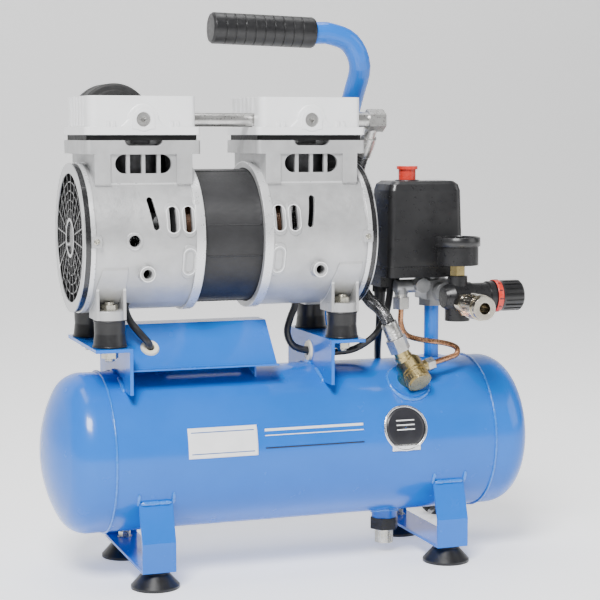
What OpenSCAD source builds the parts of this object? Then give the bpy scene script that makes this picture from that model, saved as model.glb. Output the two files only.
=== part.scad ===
// Twin-cylinder oil-free airbrush compressor on a horizontal air tank.
// Frame of the layout: X along the tank, +Y away from the front, Z up from the floor.

/* [Tank] */
// Outer radius of the air tank
tank_r = 71.5; // [70:0.1:72]
// Height of the tank's axis above the floor
tank_z = 111.5; // [111:0.1:113]
// Half length of the tank's straight shell
shell_half = 178; // [176:0.5:186]
// Wall of the tank
tank_wall = 2; // [1.5:0.1:3]

/* [Feet] */
// Middle of the left foot strap along the tank
strap_left_x = -142.5; // [-150:0.5:-130]
// Middle of the right foot strap along the tank
strap_right_x = 134.5; // [130:0.5:150]
// Width of a foot strap
strap_w = 30; // [26:1:34]
// Distance of a foot from the tank's middle plane
foot_y = 58; // [54:1:59]
// Radius of a rubber foot at the floor
foot_r = 21.5; // [18:0.5:23]
// Height of a rubber foot
foot_h = 16; // [15:0.5:17]

/* [Motor] */
// Middle of the motor along the tank
motor_x = -70; // [-72:0.5:-68]
// Height of the motor's shaft
motor_z = 303; // [302:0.5:304]
// Outer radius of a crankcase
case_r = 64; // [63.5:0.1:64.5]
// Outer radius of the stator pack
stator_r = 59.4; // [58.5:0.1:59.4]
// Distance of a cylinder's axis from the motor's middle
cylinder_dx = 76.4; // [76:0.1:77]
// Distance of a rubber mount from the motor's middle, along the tank
mount_dx = 107; // [106:0.5:108]
// Distance of a rubber mount from the motor's middle plane
mount_y = 42; // [40:0.5:43]
// Throw of the eccentrics, half the stroke
throw = 5.5; // [3:0.5:5.5]
// Bore radius of a cylinder
bore_r = 27; // [27:0.1:27.5]

/* [Handle] */
// Outer radius of the handle tube
handle_r = 10; // [9:0.5:10]
// Outer radius of the grip
grip_r = 14; // [13:0.5:16]

/* [Controls] */
// Width of the pressure switch
switch_w = 76; // [70:1:76]
// Radius of the pressure gauge's case
gauge_r = 18.8; // [18:0.2:22]
// Bore radius of the quick coupler
coupler_bore_r = 5.2; // [4.5:0.1:5.5]

/* [Cord] */
// Diameter of the mains lead
mains_d = 7; // [6.5:0.1:7]
// Turns across the coil of spare lead
coil_across = 3; // [3:1:3]

/* [Hidden] */
$fn = 64;
hull_fn = 32;
cover = [0.30, 0.62, 0.88];
alloy = [0.80, 0.81, 0.82];
black = [0.10, 0.10, 0.11];
steel = [0.72, 0.73, 0.74];
brass = [0.78, 0.66, 0.36];
cream = [0.90, 0.88, 0.80];

// Front face of the quick coupler and back face of the intake filter, in the layout's frame
front_y = 119;
back_y = 101;
origin_y = (front_y - back_y) / 2;

tank_top = tank_z + tank_r;
straight = 15;
crown_r = 122;
knuckle_r = 25;
strap_t = 2.5;
plate_t = 3;
plate_half_y = 60;
plate_bottom = 170;
flange_w = 32.5;
flange_top = 210.5;
mount_h = 24;
foot_floor = 8;
foot_boss_z = flange_top + mount_h;
left_x = motor_x - cylinder_dx;
right_x = motor_x + cylinder_dx;
case_in = 27;
case_out = 127;
neck_top = 376.4;
deck_z = 388.2;
head_z = 392.8;
head_top = 426.2;
head_half_x = 51.2;
head_half_y = 47;
head_screw_x = 40.5;
head_screw_y = 37;
port_z = 406;
fit = 0.02;
shaft_r = 7.5;
rod_len = 77;
eccentric_r = 14;
running = 0.05;
riser_x = 140;
riser_y = -8;
riser_top = 233.5;
valve_x = 101;
valve_tilt = 39;
drain_x = 93;
drain_y = -8;
grommet_z = 194;
regulator_x = 142.5;
regulator_y = -61;
regulator_z = 245.5;
coupler_z = 240.5;
stem_z = 265;
coupler_seat = -16;
switch_x = 123;
switch_y = -11;
switch_base_z = 262;
switch_top = 350.5;
knob_x = 113.5;
knob_y = -10;
mains_gland = [94, 8];
motor_gland = [98.5, -6];
arm_y = -20;
mains_r = mains_d / 2;
coil_mean_r = 5.5 * mains_d;
coil_x = 212;
coil_y = 205;
plug_x = 208;
plug_y = 126;
plug_r = 17;
plug_way = [-0.62, -0.79, 0];

// Hand-chosen routes of the tubes and cables, in the layout's frame
handle_route = [[56, 54, 156], [56, 68, 190], [56, 80, 232], [60, 82, 290], [70, 78, 345],
    [72, 57, 382], [72, 24, 427], [71, 3, 456], [60, 0, 477], [40, 0, 484.8], [24, 0, 485.2],
    [-21, 0, 486.4], [-66, 0, 487.6]];
hose_route = [[73, -6, 380], [71, 4, 362], [69.5, 16, 335], [69.5, 22, 300], [69.5, 12, 270],
    [69.5, -6, 253], [70, -26, 242], [73, -41, 236], [77, -49, 228], [82, -50.3, 217]];
copper_route = [[104, -20, 240], [104, -20, 230], [104, -20, 218], [109, -22, 207.5],
    [122, -27, 203], [142, -34, 200], [152, -39, 196], [150, -44, 190.5], [142, -46.4, 188.2],
    [136, -47.7, 186.8], [130, -48.9, 185.5], [124, -50.1, 184.2], [118, -51.3, 182.9]];
motor_route = [[98.5, -6, 250], [98, -6, 242], [94, -7, 226], [84, -6, 207], [65, -2, 194],
    [44, 0, 191.5], [28, 0, 193.3], [16, 0, 194.8], [4, 0, 200], [-1, 0, 212], [2, 0, 225],
    [6.4, 0, 236], [6.4, 0, 247]];
capacitor_route = [[-160, -28, 253], [-160, -28.5, 242], [-156, -31, 231], [-148, -35, 220],
    [-141.5, -35.5, 212.5], [-138.5, -30, 206.6], [-137, -23.5, 200.5], [-132, -17, 197]];
mains_route = [[94, 8, 231], [94, 9, 214], [97, 20, 196], [106, 42, 174.5], [118, 61, 156],
    [128, 72, 133], [134, 76, 105], [136, 77, 70], [137, 80, 35], [138, 87, 12], [143, 99, 4],
    [150, 116, 3.5], [158, 138, 3.5], [164, 160, 3.5], [166.5, 185, 3.5], [166.5, 205, 3.5]];
tail_route = [[248, 177, 10.5], [243, 170.6, 11.5], [238, 164.2, 14], [232, 156.6, 16.5]];

// Moves the layout so that the origin is the middle of the bounding box's bottom
module placed() translate([0, origin_y, 0]) children();

module x_rod(r, x0, x1, y = 0, z = 0) translate([x0, y, z]) rotate([0, 90, 0])
    cylinder(r = r, h = x1 - x0);
module y_rod(r, y0, y1, x = 0, z = 0) translate([x, y0, z]) rotate([-90, 0, 0])
    cylinder(r = r, h = y1 - y0);
module z_rod(r, z0, z1, x = 0, y = 0) translate([x, y, z0]) cylinder(r = r, h = z1 - z0);
module hex(across, h) cylinder(r = across / sqrt(3), h = h, $fn = 6);
module span_box(low, high) translate(low) cube(high - low);
module tank_solid(r = tank_r) x_rod(r, -shell_half - 1, shell_half + 1, 0, tank_z);

// Rectangle with round corners made of true arcs
module round_rect(w, h, r) {
    square([w - 2 * r, h], center = true);
    square([w, h - 2 * r], center = true);
    for (sx = [-1, 1], sy = [-1, 1])
        translate([sx * (w / 2 - r), sy * (h / 2 - r)]) circle(r);
}

// Smooth curve through a list of points, with n steps between neighbours
function at(p, i) = p[max(0, min(len(p) - 1, i))];
function blend(a, b, c, d, t) = 0.5 * (2 * b + (c - a) * t + (2 * a - 5 * b + 4 * c - d) * t * t
    + (3 * b - a - 3 * c + d) * t * t * t);
function curve(p, n) = [for (i = [0 : len(p) - 2], k = [0 : n - 1])
    blend(at(p, i - 1), p[i], p[i + 1], at(p, i + 2), k / n), p[len(p) - 1]];
function unit(v) = v / norm(v);
function tangent(p, i) = unit(at(p, i + 1) - at(p, i - 1));
function square_to(v, t) = unit(v - (v * t) * t);
function side_vectors(p, i, v) = let (n = square_to(v, tangent(p, i)))
    i == len(p) - 1 ? [n] : concat([n], side_vectors(p, i + 1, n));

// Round tube of radius r along a path
module swept(path, r, sides) {
    first = abs(tangent(path, 0)[2]) > 0.7 ? [1, 0, 0] : [0, 0, 1];
    across = side_vectors(path, 0, first);
    rings = len(path);
    points = [for (i = [0 : rings - 1], k = [0 : sides - 1])
        let (t = tangent(path, i), n = across[i], a = 360 * k / sides)
        path[i] + r * (cos(a) * n + sin(a) * cross(t, n))];
    walls = [for (i = [0 : rings - 2], k = [0 : sides - 1])
        let (a = i * sides + k, b = i * sides + (k + 1) % sides)
        each [[a, a + sides, b], [b, a + sides, b + sides]]];
    start_cap = [for (k = [0 : sides - 1]) k];
    end_cap = [for (k = [sides - 1 : -1 : 0]) (rings - 1) * sides + k];
    polyhedron(points = points, faces = concat(walls, [start_cap, end_cap]));
}

// ---------------------------------------------------------------- tank

module tank_shell() placed() color(cover) difference() {
    union() {
        x_rod(tank_r, -shell_half, shell_half, 0, tank_z);
        z_rod(13, tank_top - 8, tank_top + 2, riser_x, riser_y);
        z_rod(12, tank_z - tank_r - 6, tank_z - tank_r + 8, drain_x, drain_y);
        translate([valve_x, 0, tank_z]) rotate([valve_tilt, 0, 0]) z_rod(19, tank_r - 8, tank_r + 3);
    }
    tank_solid(tank_r - tank_wall);
    z_rod(7, tank_top - 12, tank_top + 3, riser_x, riser_y);
    z_rod(5.5, tank_z - tank_r - 7, tank_z - tank_r + 12, drain_x, drain_y);
    translate([valve_x, 0, tank_z]) rotate([valve_tilt, 0, 0]) z_rod(8, tank_r - 12, tank_r + 4);
}

// Half outline of a dished end, shrunk inwards by t
module dish_outline(t) {
    depth_x = straight;
    knuckle = knuckle_r - t;
    crown = crown_r - t;
    knuckle_y = tank_r - knuckle_r;
    crown_drop = sqrt(pow(crown_r - knuckle_r, 2) - pow(knuckle_y, 2));
    wedge = 3 * crown_r;
    intersection() {
        union() {
            translate([-t, 0]) square([depth_x + t, tank_r - t]);
            translate([depth_x, 0]) square([knuckle, knuckle_y]);
            translate([depth_x, knuckle_y]) circle(knuckle);
            translate([depth_x - crown_drop, 0]) intersection() {
                circle(crown, $fn = 200);
                polygon([[0, 0], [wedge * crown_drop / knuckle_y, wedge], [wedge, 0]]);
            }
        }
        translate([-t, 0]) square([tank_r, tank_r - t]);
    }
}
module dish() rotate([0, 90, 0]) difference() {
    union() {
        rotate_extrude() rotate([0, 0, 90]) mirror([0, 1]) dish_outline(0);
        rotate_extrude() translate([tank_r - 0.4, 0]) circle(1.6);
        difference() {
            z_rod(tank_r - tank_wall, -8, 1);
            z_rod(tank_r - 2 * tank_wall, -9, 2);
        }
    }
    rotate_extrude() rotate([0, 0, 90]) mirror([0, 1]) dish_outline(2 * tank_wall);
    z_rod(tank_r - 2 * tank_wall, -9, 0.5);
    difference() {
        z_rod(tank_r + 3, -3, 0);
        z_rod(tank_r - tank_wall, -4, 1);
    }
}
module tank_ends() placed() color(cover) translate([0, 0, tank_z]) {
    translate([shell_half, 0, 0]) dish();
    mirror([1, 0, 0]) translate([shell_half, 0, 0]) dish();
}

// U-shaped strap: a level plate under the tank with two legs up to the shell
module foot_strap(x) placed() color(cover) {
    half = 73.5;
    bend_z = 42;
    top_y = 62.3;
    top_z = 76;
    outer = [[-top_y, top_z], [-half, bend_z], [-half, foot_h], [half, foot_h],
        [half, bend_z], [top_y, top_z]];
    inner = [[top_y - strap_t, top_z], [half - strap_t, bend_z],
        [half - strap_t, foot_h + strap_t], [strap_t - half, foot_h + strap_t],
        [strap_t - half, bend_z], [strap_t - top_y, top_z]];
    difference() {
        translate([x - strap_w / 2, 0, 0]) rotate([90, 0, 90])
            linear_extrude(strap_w) polygon(concat(outer, inner));
        tank_solid();
        for (s = [-1, 1]) z_rod(3.2, 0, 30, x, s * foot_y);
    }
}
module foot_strap_left() foot_strap(strap_left_x);
module foot_strap_right() foot_strap(strap_right_x);

module at_feet() for (x = [strap_left_x, strap_right_x], s = [-1, 1])
    translate([x, s * foot_y, 0]) children();
module rubber_feet() placed() color(black) at_feet() rotate_extrude()
    polygon([[7, 0], [foot_r, 0], [foot_r, 2.5], [12, foot_h - 3], [11, foot_h], [3, foot_h],
        [3, 6], [7, 6]]);
module foot_screws() placed() color(steel) at_feet() {
    z_rod(3, 5.9, foot_h + strap_t + 7);
    z_rod(5.5, 2, 6);
    translate([0, 0, foot_h + strap_t]) hex(10, 5);
}

// ---------------------------------------------------------------- brackets and mounts

// Angle bracket across the tank: a plate with an arched lower edge and a level flange
module motor_bracket(side, with_hole) {
    plate_x = motor_x + side * (mount_dx - 16.5);
    flange_x = plate_x + side * flange_w;
    difference() {
        union() {
            span_box([min(plate_x, plate_x + side * plate_t), -plate_half_y, plate_bottom],
                [max(plate_x, plate_x + side * plate_t), plate_half_y, flange_top]);
            span_box([min(plate_x, flange_x), -plate_half_y, flange_top - plate_t],
                [max(plate_x, flange_x), plate_half_y, flange_top]);
        }
        tank_solid();
        for (s = [-1, 1])
            z_rod(4.3, flange_top - 10, flange_top + 5, motor_x + side * mount_dx, s * mount_y);
        if (with_hole) x_rod(7.5, plate_x - 5, plate_x + 5, 0, grommet_z);
    }
}
module motor_bracket_left() placed() color(cover) motor_bracket(-1, false);
module motor_bracket_right() placed() color(cover) motor_bracket(1, true);

module at_mounts() for (sx = [-1, 1], sy = [-1, 1])
    translate([motor_x + sx * mount_dx, sy * mount_y, 0]) children();
module rubber_mounts() placed() color(black) at_mounts() translate([0, 0, flange_top])
    rotate_extrude() polygon([[4, 0], [14.6, 0], [13.2, mount_h / 2], [13.6, mount_h], [4, mount_h]]);
module mount_screws() placed() color(steel) at_mounts() {
    z_rod(4, flange_top - 12, foot_boss_z + foot_floor + 7);
    translate([0, 0, flange_top - plate_t - 6.5]) hex(13, 6.5);
    translate([0, 0, foot_boss_z + foot_floor]) hex(13, 5);
}

// Slope of the capacitor cover's side, from the lip up to the ridge
cover_top = 226;
cover_lip_z = 190.5;
cover_lip_y = 45;
cover_ridge_y = 12;
cover_slope = atan2(cover_top - cover_lip_z, cover_lip_y - cover_ridge_y);
cover_left = -158.5;
cover_right = -26;
module cover_outline(t, lip) {
    polygon([[-lip, cover_lip_z - t], [-lip, cover_lip_z], [-cover_lip_y, cover_lip_z],
        [-cover_ridge_y, cover_top], [cover_ridge_y, cover_top], [cover_lip_y, cover_lip_z],
        [lip, cover_lip_z], [lip, cover_lip_z - t]]);
}
module cover_inside(t) {
    shift = t * tan(cover_slope / 2);
    polygon([[-cover_lip_y + shift, cover_lip_z - t - 0.01], [-cover_ridge_y + shift, cover_top - t],
        [cover_ridge_y - shift, cover_top - t], [cover_lip_y - shift, cover_lip_z - t - 0.01]]);
}
grommet_y = -30;
grommet_up = cover_lip_z + (cover_lip_y + grommet_y) * tan(cover_slope);
grommet_x = -138.5;
module at_cover_grommet() translate([grommet_x, grommet_y, grommet_up])
    rotate([cover_slope, 0, 0]) children();
module capacitor_cover() placed() color(cover) difference() {
    union() {
        difference() {
            translate([cover_left, 0, 0]) rotate([90, 0, 90])
                linear_extrude(cover_right - cover_left) cover_outline(1.5, 52);
            translate([cover_left - 1, 0, 0]) rotate([90, 0, 90])
                linear_extrude(cover_right - cover_left + 2) cover_inside(1.5);
        }
        for (x = [cover_left, cover_right - 16]) translate([x, 0, 0]) rotate([90, 0, 90])
            linear_extrude(1.5) union() {
                intersection() {
                    cover_outline(1.5, 52);
                    translate([-30, cover_lip_z - 1.5]) square([60, 60]);
                }
                translate([-30, tank_z + 60]) square([60, cover_lip_z - tank_z - 60]);
            }
    }
    tank_solid();
    at_cover_grommet() z_rod(6, -6, 6);
}
module capacitor() placed() color(alloy) x_rod(16, -118, -48, 0, tank_top + 16 + fit);

module grommet_ring(hole, neck, rim, wall) rotate_extrude()
    polygon([[hole, -wall / 2 - 1.8], [rim - 1, -wall / 2 - 1.8], [rim, -wall / 2], [neck, -wall / 2],
        [neck, wall / 2], [rim, wall / 2], [rim - 1, wall / 2 + 1.8], [hole, wall / 2 + 1.8]]);
module grommets() placed() color(cream) {
    translate([motor_x + mount_dx - 15, 0, grommet_z]) rotate([0, 90, 0])
        grommet_ring(4.2, 7.5, 10, plate_t);
    at_cover_grommet() translate([0, 0, -0.75]) grommet_ring(3.9, 6, 8.4, 1.5);
}

// ---------------------------------------------------------------- handle

handle_path = curve(handle_route, 4);
grip_low = handle_route[10];
grip_high = handle_route[12];
grip_len = 97;
module handle_tube() placed() color(cover) difference() {
    swept(handle_path, handle_r, 24);
    tank_solid();
}
module handle_grip() placed() color(black)
    translate(grip_low) rotate([0, -90 + atan2(grip_high[2] - grip_low[2], grip_low[0] - grip_high[0]), 0])
    difference() {
        rotate_extrude() difference() {
            polygon([[0, 0], [grip_r - 1, 0], [grip_r, 2], [grip_r, grip_len - 2],
                [grip_r - 1.5, grip_len], [0, grip_len]]);
            for (z = [13 : 9 : 86]) translate([grip_r - 0.6, z]) square([2, 1.2]);
        }
        z_rod(handle_r, -1, norm(grip_high - grip_low));
    }

// ---------------------------------------------------------------- motor

// Everything of the left crankcase, in the motor's own frame: x from the motor's middle
// outwards, y back, z up from the shaft
module crankcase(cable_hole, with_top_hole) {
    neck = 43;
    neck_y = 45;
    top = neck_top - motor_z;
    deck = deck_z - motor_z;
    boss_bottom = foot_boss_z - motor_z;
    bulkhead = 50;
    difference() {
        union() {
            x_rod(case_r, case_in, case_out);
            x_rod(case_r + 2, case_in, case_in + 8);
            x_rod(case_r + 2, case_out - 4, case_out);
            span_box([cylinder_dx - neck, -neck_y, 20], [cylinder_dx + neck, neck_y, top]);
            for (sx = [-1, 1], sy = [-1, 1])
                translate([cylinder_dx + sx * (neck - 7), sy * (neck_y - 3), 47.5])
                    span_box([-7, -5, 0], [7, 5, top - 47.5]);
            translate([cylinder_dx, 0, top])
                linear_extrude(deck - top) round_rect(2 * head_half_x, 2 * head_half_y, 5);
            for (s = [-1, 1]) y_side(s) {
                foot_boss(boss_bottom, with_top_hole ? -s : s);
                translate([case_out - 3.5, case_r - 1, 0]) span_box([-5.5, -4.5, -5], [3.5, 4.5, 5]);
            }
            // Rims of the vent slots and holes on the front and back
            for (s = [-1, 1]) {
                for (x = [41, 55]) slot_rod(6, 12, s, x, 17.5);
                y_side(s) y_rod(7, 50, case_r + 1, 78.3, -28.5);
            }
            if (with_top_hole) y_rod(7.5, -case_r - 1, -50, 89.3, 0);
            slot_rod(6, 12, -1, 40.5, -19);
        }
        // Fan recess, crank chamber, winding space and stator register
        x_rod(60, bulkhead + 4, case_out + 1);
        x_rod(stator_r + fit, case_in - 1, bulkhead);
        x_rod(17.5, bulkhead - 1, bulkhead + 14);
        span_box([cylinder_dx - neck + 5, -neck_y + 4, 20], [cylinder_dx + neck - 5, neck_y - 4, top - 0.01]);
        z_rod(30 + fit, top - 5, deck + 1, cylinder_dx);
        z_rod(34 + fit, deck - 3, deck + 1, cylinder_dx);
        // Windows of the neck, each with three bars
        for (s = [-1, 1]) y_side(s) intersection() {
            union() for (span = [[-25, -15.1], [-11.9, -1.6], [1.6, 11.9], [15.1, 25]])
                span_box([cylinder_dx + span[0], 35, 56], [cylinder_dx + span[1], 50, 74]);
            translate([cylinder_dx, 0, 65]) rotate([90, 0, 0]) translate([0, 0, -60])
                linear_extrude(120) round_rect(49.6, 16.2, 8);
        }
        // Notch under the head's gap, and the holes of the feet, lugs and slots
        for (s = [-1, 1]) y_side(s) {
            span_box([cylinder_dx - 12, 33, deck - 4.6], [cylinder_dx + 12, 50, deck + 1]);
            for (sx = [-1, 1]) y_rod(4.6, 33, 50, cylinder_dx + sx * 12, deck);
            z_rod(4.3, boss_bottom - 1, boss_bottom + foot_floor + 1, mount_dx, mount_y);
            y_rod(2, case_r - 3, case_r + 5, case_out - 4.5, 0);
            for (x = [41, 55]) y_rod_slot(3, 12, x, 17.5);
            y_rod(4, 50, 70, 78.3, -28.5);
            hull() {
                y_rod(2.7, 40, 70, 73.6, 34, $fn = hull_fn);
                y_rod(2.7, 40, 70, 69.6, 11.5, $fn = hull_fn);
            }
            for (sx = [-1, 1]) z_rod(3.2, top + 1, deck + 1, cylinder_dx + sx * head_screw_x, head_screw_y);
        }
        if (with_top_hole) y_rod(5, -case_r - 3, -50, 89.3, 0);
        y_side(-1) difference() {
            y_rod_slot(3.6, 9.6, 40.5, -19);
            x_rod(case_r, case_in - 1, case_out);
        }
        // Cable entry in the underside
        z_rod(4, -70, -48, cable_hole[0], cable_hole[1]);
    }
}
// One foot of a crankcase: a round cup over the rubber mount, two ribs and a raised pad,
// whose slanting edge is on the outer side with slant = 1 and on the inner side with -1
module foot_boss(bottom, slant) {
    z_rod(13.6, bottom, bottom + foot_floor, mount_dx, mount_y);
    span_box([mount_dx - 13, 20, bottom], [mount_dx + 13, mount_y, bottom + foot_floor]);
    for (sx = [-1, 1])
        span_box([mount_dx + sx * 11.7 - 1.3, 20, bottom], [mount_dx + sx * 11.7 + 1.3, 50.5, -36]);
    intersection() {
        x_rod(case_r + 1, case_in, case_out);
        translate([0, 60, 0]) rotate([90, 0, 0]) linear_extrude(40)
            polygon([[mount_dx - slant * 13, bottom], [mount_dx - slant * 13, -11],
                [mount_dx + slant * 6, -11], [mount_dx + slant * 13, -40],
                [mount_dx + slant * 13, bottom]]);
    }
}
module y_side(s) mirror([0, s < 0 ? 1 : 0, 0]) children();
module y_rod_slot(r, half, x, z) {
    y_rod(r, 40, 70, x, z + half - r);
    y_rod(r, 40, 70, x, z - half + r);
    span_box([x - r, 40, z - half + r], [x + r, 70, z + half - r]);
}
module slot_rod(r, half, s, x, z) y_side(s) intersection() {
    union() {
        y_rod(r, 40, 70, x, z + half - 3);
        y_rod(r, 40, 70, x, z - half + 3);
        span_box([x - r, 40, z - half + 3], [x + r, 70, z + half - 3]);
    }
    x_rod(case_r + 0.9, case_in, case_out);
}
module in_motor(side) translate([motor_x, 0, motor_z]) mirror([side < 0 ? 1 : 0, 0, 0]) children();
module crankcase_left() placed() color(alloy) in_motor(-1) crankcase([90, -28], true);
module crankcase_right() placed() color(alloy) in_motor(1) crankcase([cylinder_dx, 0], false);

core_half = 32;
module stator() placed() color([0.22, 0.22, 0.23]) translate([motor_x, 0, motor_z]) difference() {
    x_rod(stator_r, -core_half, core_half);
    x_rod(30.6, -core_half - 1, core_half + 1);
}
module stator_windings() placed() color([0.72, 0.42, 0.22]) translate([motor_x, 0, motor_z])
    for (s = [-1, 1]) mirror([s < 0 ? 1 : 0, 0, 0]) difference() {
        x_rod(55, core_half, core_half + 14);
        x_rod(36, core_half - 1, core_half + 15);
    }
module rotor() placed() color(steel) translate([motor_x, 0, motor_z]) difference() {
    x_rod(30, -core_half, core_half);
    x_rod(shaft_r, -core_half - 1, core_half + 1);
}
module motor_shaft() placed() color(steel) translate([motor_x, 0, motor_z]) {
    x_rod(shaft_r, -case_out + 3, case_out - 3);
    for (side = [-1, 1]) mirror([side < 0 ? 1 : 0, 0, 0]) {
        x_rod(eccentric_r, cylinder_dx - 6, cylinder_dx + 6, 0, -side * throw);
        x_rod(12, cylinder_dx - 14, cylinder_dx - 7, 0, side * 9);
    }
}
module bearings() placed() color(steel) translate([motor_x, 0, motor_z])
    for (side = [-1, 1]) mirror([side < 0 ? 1 : 0, 0, 0]) difference() {
        x_rod(17.5, 50, 54);
        x_rod(shaft_r + running, 49, 55);
    }
module cooling_fans() placed() color(black) translate([motor_x, 0, motor_z])
    for (side = [-1, 1]) mirror([side < 0 ? 1 : 0, 0, 0]) difference() {
        union() {
            x_rod(16, case_out - 14, case_out - 4);
            for (k = [0 : 8]) rotate([40 * k, 0, 0]) translate([case_out - 9, 0, 0])
                rotate([0, 0, 32]) span_box([-0.9, -6, 14], [0.9, 6, 54]);
        }
        x_rod(shaft_r, case_out - 20, case_out);
    }
// A ring round the motor's axis
module x_ring(r_out, r_in, x0, x1) difference() {
    x_rod(r_out, x0, x1);
    x_rod(r_in, x0 - 1, x1 + 1);
}
module fan_guards() placed() color(alloy) translate([motor_x, 0, motor_z])
    for (side = [-1, 1]) mirror([side < 0 ? 1 : 0, 0, 0]) {
        x_ring(65, 60, case_out, case_out + 5);
        x_ring(65.6, 56.5, case_out + 4.6, case_out + 5.6);
        for (r = [25, 33, 41, 49]) x_ring(r + 0.5, r - 0.5, case_out + 3.1, case_out + 4.4);
        x_ring(17.4, 14.6, case_out + 2.8, case_out + 5.2);
        x_rod(15, case_out + 2.8, case_out + 3.6);
        for (k = [0 : 19]) rotate([18 * k + 6, 0, 0])
            span_box([case_out + 3, -0.6, 15], [case_out + 4.8, 0.6, 61]);
    }
module cylinder_sleeves() placed() color(alloy) for (x = [left_x, right_x]) translate([x, 0, 0])
    difference() {
        union() {
            z_rod(30, 345, deck_z);
            z_rod(34, deck_z - 3, deck_z);
        }
        z_rod(bore_r, 344, deck_z + 1);
    }
module piston(x, lift) placed() color(alloy) translate([x, 0, motor_z + lift]) difference() {
    union() {
        x_rod(19, -5.5, 5.5);
        span_box([-4, -5, 17], [4, 5, rod_len - 6]);
        z_rod(21, rod_len - 8, rod_len);
    }
    x_rod(eccentric_r + running, -6, 6);
}
module piston_left() piston(left_x, throw);
module piston_right() piston(right_x, -throw);
module valve_plates() placed() color(black) for (x = [left_x, right_x]) difference() {
    translate([x, 0, deck_z]) linear_extrude(head_z - deck_z)
        round_rect(2 * head_half_x - 5, 2 * head_half_y - 5, 5);
    for (sx = [-1, 1], sy = [-1, 1])
        z_rod(3.2, deck_z - 1, head_z + 1, x + sx * head_screw_x, sy * head_screw_y);
    for (s = [-1, 1]) z_rod(5, deck_z - 1, head_z + 1, x + s * 13, 0);
}
// Head casting: a flange, a block with ribbed ends, two boss ports and two gas chambers
module cylinder_head(x, tube_side) placed() color([0.90, 0.90, 0.91]) translate([x, 0, 0]) difference() {
    union() {
        translate([0, 0, head_z]) linear_extrude(7) round_rect(2 * head_half_x, 2 * head_half_y, 5);
        translate([0, 0, head_z + 6]) linear_extrude(head_top - head_z - 6)
            round_rect(2 * head_half_x - 7, 2 * head_half_y - 5, 7);
        for (s = [-1, 1]) y_side(s) {
            y_rod(10, 40, head_half_y + 0.5, 0, port_z);
            span_box([-10, 40, head_z + 5], [10, head_half_y + 0.5, port_z]);
            for (sx = [-1, 1], k = [-1, 1]) span_box([sx * 28 + k * 2.6 - 1.2, 40, head_z + 6],
                [sx * 28 + k * 2.6 + 1.2, head_half_y - 0.8, head_z + 12]);
        }
    }
    for (s = [-1, 1]) {
        span_box([min(s * 4, s * 34), -28, head_z - 1], [max(s * 4, s * 34), 28, head_top - 6]);
        y_side(s) y_rod(6.3, 27, head_half_y + 4, 0, port_z);
        for (k = [-2 : 2]) span_box([min(s * 45, s * 53), k * 12.5 - 3.6, head_z + 8],
            [max(s * 45, s * 53), k * 12.5 + 3.6, head_top + 1]);
    }
    for (sx = [-1, 1], sy = [-1, 1]) {
        z_rod(3.2, head_z - 1, head_top + 1, sx * head_screw_x, sy * head_screw_y);
        z_rod(6, head_top - 7, head_top + 1, sx * head_screw_x, sy * head_screw_y);
    }
    if (tube_side > 0) x_rod(6.2, 30, head_half_x - 0.6, -20, port_z);
    if (tube_side < 0) {
        x_rod(6.2, 0.6 - head_half_x, -30, -20, port_z);
        x_rod(5, 30, head_half_x + 1, -20, port_z);
    }
}
module cylinder_head_left() cylinder_head(left_x, 1);
module cylinder_head_right() cylinder_head(right_x, -1);
module head_screws() placed() color(steel) for (x = [left_x, right_x], sx = [-1, 1], sy = [-1, 1])
    translate([x + sx * head_screw_x, sy * head_screw_y, 0]) difference() {
        union() {
            z_rod(3, neck_top + 1.5, head_top - 6.5);
            z_rod(5.5, head_top - 7, head_top - 1);
        }
        translate([0, 0, head_top - 4]) hex(5, 5);
    }
module head_plugs() placed() color(steel) for (place = [[left_x, -1], [right_x, -1], [right_x, 1]])
    translate([place[0], 0, 0]) y_side(place[1]) difference() {
        y_rod(6.3, 38, 46, 0, port_z);
        y_rod(2.6, 42, 47, 0, port_z, $fn = 6);
    }
module transfer_tube() placed() color(steel) difference() {
    x_rod(6.2, left_x + 34.5, right_x - 34.5, -20, port_z);
    x_rod(4.6, left_x + 34, right_x - 34, -20, port_z);
}
module intake_filter() placed() color(black) translate([left_x, 0, port_z]) difference() {
    rotate([-90, 0, 0]) rotate_extrude() polygon([[0, 40], [6.2, 40], [6.2, 49.5], [8, 49.5],
        [8, 60], [27, 60], [28, 62], [32, 62], [34, 64], [34, 84], [33, 85], [33, 87], [34, 88],
        [34, 98], [31, back_y], [0, back_y]]);
    rotate([-90, 0, 0]) rotate_extrude() polygon([[0, 39], [4, 39], [4, 64], [30, 67], [30, 96], [0, 96]]);
}
// Outlet fitting on the right head, turned down and back to the hose
outlet_x = 77;
hose_path = curve(hose_route, 4);
module outlet_elbow() placed() color(steel) {
    x_rod(5, right_x + 35, outlet_x - 7, -20, port_z);
    translate([outlet_x - 8, -20, port_z]) rotate([0, 90, 0]) hex(18, 16);
    x_rod(6, right_x + head_half_x - 3.5, right_x + head_half_x + 1, -20, port_z);
    x_rod(7.5, right_x + head_half_x + 0.3, outlet_x - 7, -20, port_z);
    translate(hose_route[0]) tilt_to(tangent(hose_path, 0)) {
        z_rod(5.5, -29, -12);
        z_rod(7.2, -13, -0.4);
    }
}
// Turns +Z to point along v
module tilt_to(v) rotate([0, acos(v[2] / norm(v)), atan2(v[1], v[0])]) children();
module braided_hose() placed() color(steel) swept(hose_path, 5.8, 12);

// ---------------------------------------------------------------- tank fittings

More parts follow.
